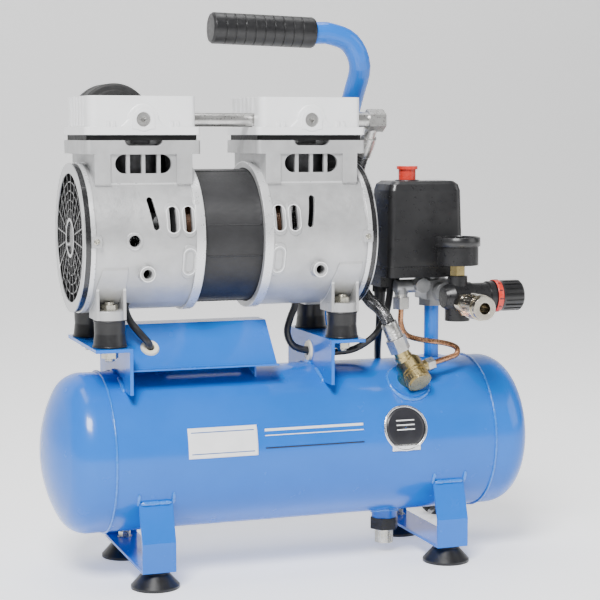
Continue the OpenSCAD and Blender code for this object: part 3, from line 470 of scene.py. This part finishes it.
def lathe(profile, frame_m, sides=64, closed=True):
    """A solid of revolution: profile is (radius, height) pairs in mm about the frame's Z."""
    pts, faces, rings = [], [], []
    for r, z in profile:
        if r < 1e-6:
            rings.append([len(pts)])
            pts.append(frame_m @ Vector((0, 0, z / 1000)))
        else:
            rings.append(list(range(len(pts), len(pts) + sides)))
            for k in range(sides):
                a = math.tau * k / sides
                pts.append(frame_m @ Vector((r * math.cos(a) / 1000, r * math.sin(a) / 1000, z / 1000)))
    pairs = list(zip(rings, rings[1:]))
    if closed and len(rings[0]) > 1 and len(rings[-1]) > 1:
        pairs.append((rings[-1], rings[0]))
    for a, b in pairs:
        if len(a) == 1 and len(b) == 1:
            continue
        for k in range(sides):
            m = (k + 1) % sides
            if len(a) == 1:
                faces.append((a[0], b[m], b[k]))
            elif len(b) == 1:
                faces.append((a[k], a[m], b[0]))
            else:
                faces.append((a[k], a[m], b[m], b[k]))
    return pts, faces


def merge(meshes):
    """One mesh from several (points, faces) pairs."""
    pts, faces = [], []
    for q, f in meshes:
        base = len(pts)
        pts += list(q)
        faces += [tuple(i + base for i in face) for face in f]
    return pts, faces


def slab(outline, frame_m, z0, z1, bevel=0.0):
    """A flat plate: outline is a list of (x, y) in mm, from z0 to z1 in the frame, its top edge chamfered."""
    n = len(outline)
    cx = sum(q[0] for q in outline) / n
    cy = sum(q[1] for q in outline) / n
    levels = [(z0, 0.0), (z1 - bevel, 0.0)] + ([(z1, bevel)] if bevel else [])
    pts = []
    for z, inset in levels:
        for x, y in outline:
            d = math.hypot(x - cx, y - cy) or 1
            s = 1 - inset / d
            pts.append(frame_m @ Vector(((cx + (x - cx) * s) / 1000, (cy + (y - cy) * s) / 1000, z / 1000)))
    return pts, tube_faces(len(levels), n)


def box_outline(w, h, r, n=6):
    """A rectangle w by h with corners of radius r."""
    out = []
    for sx, sy, a0 in ((1, 1, 0), (-1, 1, 90), (-1, -1, 180), (1, -1, 270)):
        for k in range(n + 1):
            a = math.radians(a0 + 90 * k / n)
            out.append((sx * (w / 2 - r) + r * math.cos(a), sy * (h / 2 - r) + r * math.sin(a)))
    return out


# ------------------------------------------------------------------ mains cord, coil and plug

CORD_D = 7.0
# The lead, from the switch's gland down to the floor
MAINS = [(94, 8, 231), (94, 9, 214), (97, 20, 196), (106, 42, 174.5), (118, 61, 156), (128, 72, 133),
         (134, 76, 105), (136, 77, 70), (137, 80, 35), (138, 87, 12), (143, 99, 4), (150, 116, 3.5),
         (158, 138, 3.5), (164, 160, 3.5), (166.5, 185, 3.5), (166.5, 205, 3.5)]
COIL_AT = (212, 205)
COIL_R = (45.5, 38.5, 31.5)  # of the windings, from the outer to the inner
TURNS, TURN_POINTS = 5.6, 20
STEP_AT = 0.1  # of a turn, over which the cord steps to the next winding
PLUG_AT = (208, 126, 17)
PLUG_WAY = Vector((-0.62, -0.79, 0)).normalized()  # towards the ends of the pins
# From the coil up to the plug's strain relief
TAIL = [(243, 170.6, 11.5), (238, 164.2, 14), (232, 156.6, 16.5)]


def coil_point(s):
    """The cord's place after s turns: in on the lower layer, up, and out on the upper one."""
    steps = ((0.8, 0, 1), (1.8, 1, 2), (3.6, 2, 1), (4.6, 1, 0))
    r = COIL_R[0]
    for start, a, b in steps:
        t = max(0.0, min(1.0, (s - start) / STEP_AT))
        r += (COIL_R[b] - COIL_R[a]) * t
    z = CORD_D / 2 + CORD_D * max(0.0, min(1.0, (s - 2.7) / STEP_AT))
    a = math.pi - math.tau * s
    return (COIL_AT[0] + r * math.cos(a), COIL_AT[1] + r * math.sin(a), z)


drop = spline([at(*q) for q in MAINS], 3)
wound = [coil_point(k / TURN_POINTS) for k in range(1, int(TURNS * TURN_POINTS) + 1)]
cord_path = drop + spline([at(*q) for q in wound + TAIL], 2)
pts, faces = sweep(cord_path, CORD_D / 2000, 12)
cord = piece("mains_cord", pts, faces, cable, slot="black_rubber", smooth="all")
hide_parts("mains_lead", "mains_coil")

LAID_OVER = Matrix.Rotation(math.radians(90), 4, "Y")
plug_m = basis(at(*PLUG_AT), PLUG_WAY)
# Ribs of the strain relief, behind the plug's body
relief = [(0, -38), (4.0, -38)]
for k in range(8):
    z = -37.4 + 2.6 * k
    r = 4.5 + 0.33 * k
    relief += [(r, z), (r, z + 1.5), (r - 0.9, z + 1.7), (r - 0.9, z + 2.4)]
body_profile = relief + [(8.0, -16.4), (10.5, -15), (13.5, -8), (16.4, -1.5), (17.0, 0.5), (17.0, 12.6),
                         (16.2, 14), (12.5, 14), (12.5, 13.2), (0, 13.2)]
plug = piece("plug_body", *lathe(body_profile, plug_m, 64, closed=False), cable, slot="black_rubber")
pins = []
for s in (-1, 1):
    off = plug_m @ Matrix.Translation((0, s * 0.0095, 0))
    pins.append(lathe([(0, 12), (2.4, 12), (2.4, 31.4), (1.7, 33), (0, 33)], off, 24, closed=False))
plug_pins = piece("plug_pins", *merge(pins), nickel, slot="nickel")
earth = []
for s in (-1, 1):
    f = plug_m @ Matrix.Translation((s * 0.0169, 0, 0.006)) @ LAID_OVER
    earth.append(slab(box_outline(11, 4.6, 0.8), f, -0.35, 0.35, 0.1))
plug_earth = piece("plug_earth", *merge(earth), nickel, slot="nickel")
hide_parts("mains_plug")

# The tie that holds the coil's turns together: a flat strap, seen in section as a rounded rectangle
TIE_ANGLE, TIE_POINTS, TIE_ROUND = math.radians(115), 40, 0.45
TIE_WIDE, TIE_HIGH, STRAP_HALF, STRAP_THICK = 11.3, 7.6, 6, 0.9
spoke = Vector((math.cos(TIE_ANGLE), math.sin(TIE_ANGLE), 0))
side = Vector((-math.sin(TIE_ANGLE), math.cos(TIE_ANGLE), 0))
centre = at(*COIL_AT, 7.9)
pts = []
for k in range(TIE_POINTS):
    a = math.tau * k / TIE_POINTS
    c, s = math.cos(a), math.sin(a)
    rx = math.copysign(abs(c) ** TIE_ROUND, c) * TIE_WIDE
    rz = math.copysign(abs(s) ** TIE_ROUND, s) * TIE_HIGH
    q = centre + (spoke * (COIL_R[1] + rx) + Vector((0, 0, rz))) / 1000
    out = (q - centre - spoke * COIL_R[1] / 1000).normalized()
    for w, h in ((-1, 0), (1, 0), (1, 1), (-1, 1)):
        pts.append(q + (side * w * STRAP_HALF + out * h * STRAP_THICK) / 1000)
faces = tube_faces(TIE_POINTS, 4, closed=True)
tie = piece("cord_tie", pts, faces, satin, slot="black_rubber")

# ------------------------------------------------------------------ CAD nodes' finishes

LOOKS = {
    blue: "tank_shell tank_ends foot_strap_left foot_strap_right motor_bracket_left motor_bracket_right "
          "capacitor_cover handle_tube riser_pipe",
    cast: "crankcase_left crankcase_right",
    head_alloy: "cylinder_head_left cylinder_head_right",
    grey_cast: "manifold",
    guard: "fan_guards",
    # painted shade behind the necks' windows
    sleeve_shade_alloy: "cylinder_sleeves",
    bright: "piston_left piston_right capacitor",
    core: "stator rotor",
    winding: "stator_windings",
    steel: "motor_shaft bearings",
    nickel: "head_plugs transfer_tube outlet_elbow tube_nuts",
    warm_nickel: "coupler_sleeve coupler_body",
    zinc: "foot_screws mount_screws head_screws drain_screw",
    brass: "check_valve_body check_valve_cap",
    copper: "copper_tube",
    rubber: "rubber_feet rubber_mounts handle_grip check_valve_poppet",
    cable: "motor_cables cable_glands",
    gloss: "switch_cover regulator_knob",
    satin: "switch_base cooling_fans regulator_body gauge_case drain_valve",
    # painted shade in the gap between head and crankcase
    valve_plate_shade: "valve_plates",
    foam: "intake_filter",
    cream: "grommets",
    red: "switch_knob gauge_needle",
    glass: "gauge_glass",
    wire_mesh: "braided_hose",
}
for look, names in LOOKS.items():
    for name in names.split():
        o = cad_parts[name]
        if not o.material_slots:
            o.data.materials.append(look)
        for s in o.material_slots:
            s.material = look

# ------------------------------------------------------------------ weld beads

STRAP_X = (-142.5, 134.5)  # the foot straps' middles
beads = []


def bead(points, r, closed=False, seed=0):
    """An uneven weld bead along points in the layout, in mm: ripples, and a width that wanders."""
    path = [at(*q) for q in points]
    rnd = random.Random(seed)
    phase = rnd.random() * 9

    def width(i, a):
        along = noise.noise(Vector((i * 0.35 + phase, seed * 1.7, 0)))
        ripple = 0.10 * math.sin(i * 2.1 + 0.8 * math.cos(a))
        end = 1.0 if closed else min(1.0, 0.45 + 0.3 * min(i, len(path) - 1 - i))
        return r / 1000 * (1 + 0.28 * along + ripple) * end

    beads.append(sweep(path, width, 10, closed))


def on_tank(x, angle, lift=0.0):
    """A point on the tank's skin: the angle is from straight up, positive towards the back."""
    a = math.radians(angle)
    r = TANK_R + lift
    return (x, r * math.sin(a), TANK_Z + r * math.cos(a))


def arc(x, a0, a1, step=0.7, lift=0.2):
    """Points round the tank at one X, from angle a0 to a1, about step degrees apart."""
    n = max(2, int(abs(a1 - a0) / step))
    return [on_tank(x, a0 + (a1 - a0) * k / n, lift) for k in range(n + 1)]


CIRCLE_POINTS = 90


def tank_circle(cx, cy, r, turn=0.0):
    """A circle of radius r about a point on the tank, lying on its skin; turn tips it towards the front."""
    out = []
    t = math.radians(turn)
    for k in range(CIRCLE_POINTS):
        a = math.tau * k / CIRCLE_POINTS
        u, w = r * math.cos(a), cy + r * math.sin(a)
        h = math.sqrt(max(0.0, TANK_R ** 2 - w ** 2))
        out.append((cx + u, w * math.cos(t) - h * math.sin(t), TANK_Z + w * math.sin(t) + h * math.cos(t)))
    return out


# Both sides of the motor's brackets
BRACKETS = ((-163.5, -160.5), (20.5, 23.5))
seed = 1
for x0, x1 in BRACKETS:
    for x, side in ((x0, -1), (x1, 1)):
        for a0, a1 in ((-35, -17), (17, 35), (-6, 5)):
            bead(arc(x + side * 1.2, a0, a1), 2.1, seed=seed)
            seed += 1
# Sides and upper ends of the foot straps
for x in STRAP_X:
    for s in (-1, 1):
        for dx in (-15.4, 15.4):
            bead(arc(x + dx, s * 112, s * 121.5, 0.9, 0.3), 1.7, seed=seed)
            seed += 1
        bead([(x + u, *on_tank(0, s * 119.8, 1.0)[1:]) for u in range(-14, 15)], 2.0, seed=seed)
        seed += 1
# Round the riser, the check valve's boss and the drain's boss, and then the seams of the tank's ends
bead(tank_circle(140, -8, 13.6), 1.9, True, seed=40)
bead(tank_circle(101, 0, 19.4, turn=39), 2.1, True, seed=41)
drain_ring = [(x, y, 2 * TANK_Z - z) for x, y, z in tank_circle(93, -8, 12.5)]
bead(drain_ring, 1.7, True, seed=42)
SEAM_POINTS = 420
for s in (-1, 1):
    seam = [on_tank(s * 178.4, 360 * k / SEAM_POINTS, 0.35) for k in range(SEAM_POINTS)]
    bead(seam, 1.15, True, seed=50 + s)
# Foot of the handle tube, where it meets the tank's back
FOOT_R, FOOT_POINTS = 10.4, 60
foot_dir = Vector((0, 14, 34)).normalized()
foot = Vector((56, 59.5, 169))
u_axis, v_axis = Vector((1, 0, 0)), foot_dir.cross(Vector((1, 0, 0))).normalized()
ring = []
for k in range(FOOT_POINTS):
    a = math.tau * k / FOOT_POINTS
    q = foot + (u_axis * math.cos(a) + v_axis * math.sin(a)) * FOOT_R
    for _ in range(12):  # slides along the tube until it lies on the skin
        q = q - foot_dir * (math.hypot(q.y, q.z - TANK_Z) - TANK_R)
    ring.append(tuple(q))
bead(ring, 2.0, True, seed=60)
# Tacks between the capacitor cover and the tank
for x in (-157.8, -41.3):
    for s in (-1, 1):
        bead(arc(x, s * 7, s * 22, 0.8, 0.4), 1.4, seed=70 + int(x) % 7 + s)
piece("weld_beads", *merge(beads), weld_paint_and_highlight, slot="blue_paint", smooth="all")

# ------------------------------------------------------------------ threads, washers and small screws


THREAD_POINTS = 28  # in one turn


def thread(base, direction, length, r, pitch=1.25, depth=0.55):
    """A screw thread round a plain rod: a ridge wound along it. Lengths in mm."""
    m = basis(at(*base), direction)
    turns = length / pitch
    n = max(12, int(turns * THREAD_POINTS))
    pts = []
    for i in range(n + 1):
        a = math.tau * turns * i / n
        z = length * i / n
        fade = min(1.0, i * 2 / THREAD_POINTS, (n - i) * 2 / THREAD_POINTS)  # over half a turn
        for dr, h in ((-0.05, -0.48), (depth * fade, 0), (-0.05, 0.48)):
            rr = (r + dr) / 1000
            pts.append(m @ Vector((rr * math.cos(a), rr * math.sin(a), (z + h * pitch) / 1000)))
    return pts, tube_faces(n + 1, 3)


def washer(base, direction, r0, r1, t):
    """A flat ring from radius r0 to r1, t thick."""
    return lathe([(r0, 0), (r0, t), (r1 - 0.2, t), (r1, t - 0.2), (r1, 0)], basis(at(*base), direction), 40)


MOUNTS = [(x, y) for x in (-177, 37) for y in (-42, 42)]
FEET = [(x, y) for x in STRAP_X for y in (-58, 58)]
threads, washers = [], []
for x, y in MOUNTS:
    threads.append(thread((x, y, 198.6), UP, 2.6, 3.95))
    threads.append(thread((x, y, 247.6), UP, 1.8, 3.95))
    washers.append(washer((x, y, 207.5), DOWN, 4.2, 8.6, 0.9))
    washers.append(washer((x, y, 210.5), UP, 4.2, 13.0, 0.8))
for x, y in FEET:
    threads.append(thread((x, y, 23.6), UP, 1.8, 2.95, 1.0, 0.45))
    washers.append(washer((x, y, 18.5), UP, 3.2, 7.0, 0.9))
piece("screw_threads", *merge(threads), zinc, slot="nickel", smooth="all")
piece("washers", *merge(washers), zinc, slot="nickel")

# Moulded lips round the ends of the rubber mounts
lips = []
for x, y in MOUNTS:
    for z, r in ((211.6, 14.5), (233.6, 13.4)):
        profile = [(r - 1, -0.8), (r + 0.3, -0.8), (r + 0.7, -0.4), (r + 0.7, 0.4), (r + 0.3, 0.8),
                   (r - 1, 0.8)]
        lips.append(lathe(profile, basis(at(x, y, z), UP), 48))
piece("mount_lips", *merge(lips), rubber, slot="black_rubber")

# Screws that hold the fan guards, in the lugs of the crankcases
lug_screws = []
for x in (-192.5, 52.5):
    for s in (-1, 1):
        profile = [(0, 0.4), (0.9, 0.4), (1.1, 0.9), (2.1, 0.9), (2.7, 0.3), (2.7, -0.2), (0, -0.2)]
        lug_screws.append(lathe(profile, basis(at(x, s * 67.5, MOTOR_Z), (0, s, 0)), 24, closed=False))
piece("lug_screws", *merge(lug_screws), zinc, slot="nickel")

# Longitudinal seams of the stator
SEAM_R = 59.3
seams = []
for quarter in range(4):
    for off in (11.7, -14.6):
        a = math.radians(90 * quarter + off)
        y, z = -SEAM_R * math.cos(a), MOTOR_Z + SEAM_R * math.sin(a)
        seams.append(sweep([at(x, y, z) for x in range(-96, -43)],
                           lambda i, b: 0.0007 * (1 + 0.15 * math.sin(i * 1.9)), 8))
piece("stator_seams", *merge(seams), core, slot="core_steel", smooth="all")

# ------------------------------------------------------------------ labels and badge

SKIN_GAP = 0.02  # below a label, in mm


def on_skin(x0, x1, a0, a1, lift, nx=40, na=24):
    """A thin sheet on the tank's skin between two X and two angles in degrees from straight up, with the
    front negative."""
    pts, faces = [], []
    for level in (SKIN_GAP, lift):
        for i in range(nx + 1):
            for j in range(na + 1):
                x = x0 + (x1 - x0) * i / nx
                a = a0 + (a1 - a0) * j / na
                pts.append(at(*on_tank(x, a, level)))

    def idx(level, i, j):
        return (level * (nx + 1) + i) * (na + 1) + j

    for i in range(nx):
        for j in range(na):
            faces.append((idx(1, i, j), idx(1, i + 1, j), idx(1, i + 1, j + 1), idx(1, i, j + 1)))
            faces.append((idx(0, i, j), idx(0, i, j + 1), idx(0, i + 1, j + 1), idx(0, i + 1, j)))
    for i in range(nx):
        faces.append((idx(0, i, 0), idx(0, i + 1, 0), idx(1, i + 1, 0), idx(1, i, 0)))
        faces.append((idx(0, i, na), idx(1, i, na), idx(1, i + 1, na), idx(0, i + 1, na)))
    for j in range(na):
        faces.append((idx(0, 0, j), idx(1, 0, j), idx(1, 0, j + 1), idx(0, 0, j + 1)))
        faces.append((idx(0, nx, j), idx(0, nx, j + 1), idx(1, nx, j + 1), idx(1, nx, j)))
    return pts, faces


def angle_at(z):
    """Angle on the tank's front, from straight up, of a height z."""
    return -math.degrees(math.acos((z - TANK_Z) / TANK_R))


piece("tank_label", *on_skin(-115, -52, angle_at(113.5), angle_at(139.5), 0.25), white, smooth="all")
rules = [on_skin(-112, -55, angle_at(z), angle_at(z + 0.8), 0.32, nx=30, na=2) for z in (117, 135.2)]
piece("tank_label_lines", *merge(rules), line_blue, smooth="all")


def stripe(z, height):
    return on_skin(-45, 48, angle_at(z), angle_at(z + height), 0.22, nx=40, na=2)


piece("tank_stripes", *merge([stripe(133.5, 2.2), stripe(129.5, 0.8)]), white, smooth="all")
piece("tank_thin_stripe", *stripe(118.5, 1.2), ink, smooth="all")


def skin_disc(cx, cz, r0, r1, lift, n=72, rings=6):
    """A ring or disc lying on the tank's front skin about (cx, cz), thinner at its edges."""
    mid = math.radians(angle_at(cz))
    pts, faces = [], []
    for level, edge in ((SKIN_GAP, SKIN_GAP), (lift, lift * 0.6)):
        for i in range(rings + 1):
            r = r0 + (r1 - r0) * i / rings
            for k in range(n):
                a = math.tau * k / n
                x = cx + r * math.cos(a)
                s = mid + r * math.sin(a) / TANK_R
                pts.append(at(*on_tank(x, math.degrees(s), level if 0 < i < rings else edge)))
    half = (rings + 1) * n
    for i in range(rings):
        for k in range(n):
            m = (k + 1) % n
            a, b = i * n, (i + 1) * n
            faces.append((half + a + k, half + b + k, half + b + m, half + a + m))
            faces.append((a + k, a + m, b + m, b + k))
    for i in (0, rings):
        for k in range(n):
            m = (k + 1) % n
            q = i * n
            f = (q + k, q + m, half + q + m, half + q + k)
            faces.append(f if i == rings else tuple(reversed(f)))
    return pts, faces


BADGE = (88.7, 129)
piece("badge_disc", *skin_disc(*BADGE, 0.5, 19.2, 0.45), ink, smooth="all")
piece("badge_rim", *skin_disc(*BADGE, 19.0, 21.2, 1.1, rings=4), bright, slot="nickel", smooth="all")
piece("badge_bar", *on_skin(75, 102.4, angle_at(108.5), angle_at(114.5), 0.8, nx=24, na=4), bright,
      slot="nickel", smooth="all")
marks = [on_skin(80, 97.4, angle_at(z), angle_at(z + 1.0), 0.6, nx=20, na=2) for z in (127, 131, 135)]
piece("badge_lines", *merge(marks), white, smooth="all")

# ------------------------------------------------------------------ gauge dial

DIAL = at(GAUGE_X, GAUGE_Y, 290.0)
DIAL_START, DIAL_SWEEP = 225, 270  # degrees, clockwise
TICKS, NUMBERS, NUMBER_R = 50, 5, 9.9
dial_m = Matrix.Translation(DIAL)
piece("gauge_dial", *lathe([(1.2, 0), (1.2, 0.5), (17.7, 0.5), (17.7, 0)], dial_m, 96), white)
# Every how many ticks, and then the inner radius and half the width
TICK_SIZES = ((10, 12.4, 0.38), (5, 13.8, 0.26), (1, 14.6, 0.16))
TICK_END = 15.8
ticks = []
for k in range(TICKS + 1):
    a = math.radians(DIAL_START - DIAL_SWEEP * k / TICKS)
    r0, w = next((inner, half) for every, inner, half in TICK_SIZES if k % every == 0)
    c, s = math.cos(a), math.sin(a)
    corners = ((TICK_END, 1), (TICK_END, -1), (r0, -1), (r0, 1))
    quad = [(r * c - e * w * s, r * s + e * w * c) for r, e in corners]
    ticks.append(slab(quad, dial_m, 0.48, 0.62))
piece("gauge_ticks", *merge(ticks), ink, smooth=False)
RED_START, RED_SWEEP, RED_PARTS = 9, 54, 16
red_zone = []
for k in range(RED_PARTS):
    a0, a1 = (math.radians(RED_START - RED_SWEEP * (k + e) / RED_PARTS) for e in (0, 1))
    quad = [(r * math.cos(a), r * math.sin(a)) for r, a in ((17.0, a0), (17.0, a1), (16.0, a1), (16.0, a0))]
    red_zone.append(slab(quad, dial_m, 0.48, 0.6))
piece("gauge_red_zone", *merge(red_zone), red, smooth=False)
numbers = []
for k in range(NUMBERS + 1):
    a = math.radians(DIAL_START - DIAL_SWEEP * k / NUMBERS)
    curve = bpy.data.curves.new("digit", "FONT")
    curve.body = str(2 * k)
    curve.size = 0.0037
    curve.align_x = "CENTER"
    curve.align_y = "CENTER"
    curve.extrude = 0.00007
    t = bpy.data.objects.new("digit", curve)
    bpy.context.collection.objects.link(t)
    bpy.context.view_layer.update()
    me = t.evaluated_get(bpy.context.evaluated_depsgraph_get()).to_mesh()
    off = DIAL + Vector((NUMBER_R * math.cos(a), NUMBER_R * math.sin(a), 0.56)) / 1000
    numbers.append(([off + q.co for q in me.vertices], [tuple(f.vertices) for f in me.polygons]))
    t.to_mesh_clear()
    bpy.data.objects.remove(t)
piece("gauge_numbers", *merge(numbers), ink, smooth=False)
gauge_m = Matrix.Translation(at(GAUGE_X, GAUGE_Y, 0))
bezel = [(17.85, 298.9), (18.6, 300.5), (19.8, 300.4), (20.45, 299.5), (20.45, 292.5), (20.15, 292.1),
         (20.0, 299.6), (18.2, 299.8)]
piece("gauge_bezel", *lathe(bezel, gauge_m, 96), gloss, slot="black_metal")
STEM_R = 7.45
hexagon = [(STEM_R * math.cos(math.tau * k / 6), STEM_R * math.sin(math.tau * k / 6)) for k in range(6)]
piece("gauge_stem", *slab(hexagon, gauge_m, 265.2, 274.8, 0.7), brass, slot="brass", smooth=False)

# ------------------------------------------------------------------ regulator ring and switch details

reg_m = basis(at(GAUGE_X, GAUGE_Y, 245.5), (1, 0, 0))  # the knob's axis
ring = [(14.2, 35.1), (14.8, 35.1), (15.0, 35.4), (15.0, 40.0), (14.8, 40.3), (14.2, 40.3)]
piece("regulator_ring", *lathe(ring, reg_m, 72), red)
marks = []
for k in range(12):
    a = math.tau * k / 12 + 0.1
    f = reg_m @ Matrix.Rotation(a, 4, "Z") @ Matrix.Translation((0.01498, 0, 0.0377)) @ LAID_OVER
    marks.append(slab(box_outline(3.0 if k % 3 else 4.2, 1.0, 0.3, 3), f, -0.1, 0.22))
piece("regulator_marks", *merge(marks), ink, smooth=False)

# Seam between the switch's base and its cover
seam = [at(123 + x, -11 + y, 272.0) for x, y in box_outline(75.2, 51.2, 5, 8)]
piece("switch_seam", *sweep(seam, 0.0004, 8, True), satin, slot="black_plastic", smooth="all")

# Raised ring round the switch's button
collar = [(8.7, 349.6), (8.7, 351.0), (9.0, 351.4), (10.8, 351.4), (11.6, 350.7), (11.6, 349.6)]
piece("button_collar", *lathe(collar, Matrix.Translation(at(113.5, -10, 0)), 64), gloss, slot="black_plastic")

# ------------------------------------------------------------------ lips of the vents

CASE_R = 64.9  # the round body of a crankcase, about the shaft; a greater lift is the Y of a flat face


def vent_lip(side, face, x, z, r, half, lift=CASE_R):
    """A rounded lip round a slot of half height half and corner radius r, on the front (-1) or back (1) of
    a case."""
    ring = []
    for k in range(48):
        a = math.tau * k / 48
        ring.append((x + r * math.cos(a), z + r * math.sin(a) + math.copysign(half - r, math.sin(a))))
    path = []
    for u, v in ring:
        y = lift if lift > CASE_R else math.sqrt(lift * lift - v * v)
        path.append(at(MOTOR_X + side * u, face * y, MOTOR_Z + v))
    return sweep(path, 0.0005, 8, True)


lips = []
for side in (-1, 1):
    for face in (-1, 1):
        lips += [vent_lip(side, face, x, 17.5, 5.5, 11.5) for x in (41, 55)]
        lips.append(vent_lip(side, face, 78.3, -28.5, 6.4, 6.4, 65))
    lips.append(vent_lip(side, -1, 40.5, -19, 5.5, 11.5))
# The lips take the head's lighter alloy, not the crankcase's: a painted highlight along each lip's rounded
# edge.
piece("vent_lips", *merge(lips), head_alloy, slot="cast_alloy", smooth="all")

# ------------------------------------------------------------------ shoulders of the heads' ports

BORE_R, ARCH_R, ARCH_DROP = 6.5, 13.5, 7.2  # the drop is from the port's axis down to the flange
ARCH_SPREAD = 1.05  # how much the sides spread for each mm down
SHOULDER_POINTS = 96
# How far in from the outline each ring of the step is, or None for the bore, and its Y
STEP_RINGS = ((None, 44.2), (0, 44.2), (0, 46.0), (0.3, 46.5), (0.8, 46.7), (None, 46.7))


def arch(a, inset):
    """The step's radius at an angle: a half circle on top, spreading towards the flange below."""
    across, down = abs(math.cos(a)), -math.sin(a)
    if down <= 0:
        return ARCH_R - inset
    slant = across - ARCH_SPREAD * down
    side_r = (ARCH_R - inset) / slant if slant > 0.05 else math.inf
    return min(side_r, (ARCH_DROP - inset) / down)


def shoulder(side, face):
    """The arched step round a port, on the front (-1) or back (1) of a head."""
    pts = []
    for inset, y in STEP_RINGS:
        for k in range(SHOULDER_POINTS):
            a = math.tau * k / SHOULDER_POINTS
            r = BORE_R if inset is None else max(BORE_R, arch(a, inset))
            x, z = MOTOR_X + side * NECK_X + r * math.cos(a), PORT_Z + r * math.sin(a)
            pts.append(at(x, face * y, z))
    faces = tube_faces(len(STEP_RINGS), SHOULDER_POINTS, closed=True)
    return pts, faces if face < 0 else [f[::-1] for f in faces]


shoulders = [shoulder(side, face) for side in (-1, 1) for face in (-1, 1)]
piece("port_shoulders", *merge(shoulders), head_alloy, slot="cast_alloy")

# ------------------------------------------------------------------ hose braid

HOSE = [(73, -6, 380), (71, 4, 362), (69.5, 16, 335), (69.5, 22, 300), (69.5, 12, 270), (69.5, -6, 253),
        (70, -26, 242), (73, -41, 236), (77, -49, 228), (82, -50.3, 217)]
hose_path = spline([at(*q) for q in HOSE], 24)
lengths = [0.0]
for a, b in zip(hose_path, hose_path[1:]):
    lengths.append(lengths[-1] + (b - a).length * 1000)
hose_frames = frames(hose_path)
STRANDS, PITCH, CORE = 16, 22.0, 5.40  # strands each way, mm of hose in one turn, and radius in mm
WEAVE = 0.22  # how far a strand rises and falls, in mm
# A strand's section: angle about the hose's axis in radians, and height in mm
STRAND = ((-0.108, -0.04), (-0.0594, 0.26), (0.0594, 0.26), (0.108, -0.04))


def braid(direction):
    """The strands that wind one way round the hose, 1 or -1."""
    out = []
    for s in range(STRANDS):
        pts = []
        for c, (_, u, v), l in zip(hose_path, hose_frames, lengths):
            turn = math.tau * l / PITCH
            a = direction * turn + math.tau * s / STRANDS
            # A strand crosses 2 * STRANDS others in each pitch, two over and two under
            rise = math.sin(turn * STRANDS / 2 + (0 if direction > 0 else math.pi) + math.pi * s)
            for da, dr in STRAND:
                b = a + da
                pts.append(c + (u * math.cos(b) + v * math.sin(b)) * (CORE + WEAVE * rise + dr) / 1000)
        out.append((pts, tube_faces(len(hose_path), len(STRAND))))
    return out


piece("hose_core", *sweep(hose_path, (CORE - 0.15) / 1000, 20), rubber, slot="black_rubber", smooth="all")
hose = piece("hose_braid", *merge(braid(1) + braid(-1)), wire_mesh, slot="hose_braid", smooth="all")
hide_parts("braided_hose")
collars = []
for end, way, r in ((hose_path[0], -hose_frames[0][0], 7.2), (hose_path[-1], hose_frames[-1][0], 7.4)):
    m = basis(end, way)
    for k in range(3):
        z = 1.4 + 2.8 * k
        rib = [(r - 0.4, z), (r + 0.35, z + 0.4), (r + 0.35, z + 1.4), (r - 0.4, z + 1.8)]
        collars.append(lathe(rib, m, 40))
    collars.append(lathe([(r - 1.4, -6.5), (r - 0.3, -6.5), (r, -6), (r, 0.6), (r - 1.4, 0.6)], m, 40))
piece("hose_crimps", *merge(collars), nickel, slot="nickel")

# ------------------------------------------------------------------ stage

floor, nt, p = new_material("pale_floor")
p.inputs["Roughness"].default_value = 0.6
pale = mix_colour(nt, spread(nt, grain(nt, 3), 0, 1), (0.93, 0.93, 0.93), (0.95, 0.95, 0.95))
link(nt, pale, p.inputs["Base Color"])
p.inputs["Emission Color"].default_value = (1, 1, 1, 1)
p.inputs["Emission Strength"].default_value = 0.50
# A floor that curves up into a back wall; lengths in metres
FLOOR_HALF, FLOOR_FRONT, WALL_FOOT, CURVE_R, WALL_TOP = 14.0, -14.0, 2.2, 1.2, 5.0
curve = [(WALL_FOOT + CURVE_R * math.sin(a), CURVE_R - CURVE_R * math.cos(a))
         for a in (math.radians(10 * k) for k in range(1, 10))]
rows = [(FLOOR_FRONT, 0), (WALL_FOOT, 0), *curve, (WALL_FOOT + CURVE_R, WALL_TOP)]
pts = [(x, y, z) for y, z in rows for x in (-FLOOR_HALF, FLOOR_HALF)]
faces = [(2 * i, 2 * i + 1, 2 * i + 3, 2 * i + 2) for i in range(len(rows) - 1)]
mesh = bpy.data.meshes.new("studio")
mesh.from_pydata(pts, [], faces)
mesh.materials.append(floor)
studio = bpy.data.objects.new("studio", mesh)
bpy.context.collection.objects.link(studio)
for poly in mesh.polygons:
    poly.use_smooth = True

world = bpy.data.worlds.new("world")
world.use_nodes = True
background = world.node_tree.nodes["Background"]
background.inputs["Color"].default_value = (1, 1, 1, 1)
background.inputs["Strength"].default_value = 0.12
bpy.context.scene.world = world


def area(name, where, aim, size, power):
    """A soft rectangular lamp; lengths in metres, power in watts."""
    d = bpy.data.lights.new(name, "AREA")
    d.shape = "RECTANGLE"
    d.size, d.size_y = size
    d.energy = power
    o = bpy.data.objects.new(name, d)
    o.location = where
    o.rotation_euler = (Vector(aim) - Vector(where)).to_track_quat("-Z", "Y").to_euler()
    bpy.context.collection.objects.link(o)


area("key", (-0.9, -1.5, 2.0), (0, 0, 0.25), (0.8, 0.8), 112)
area("fill", (1.8, -1.2, 1.0), (0, 0, 0.25), (1.2, 1.4), 14)
area("top", (0.0, 0.4, 2.4), (0, 0, 0.2), (1.6, 1.2), 30)
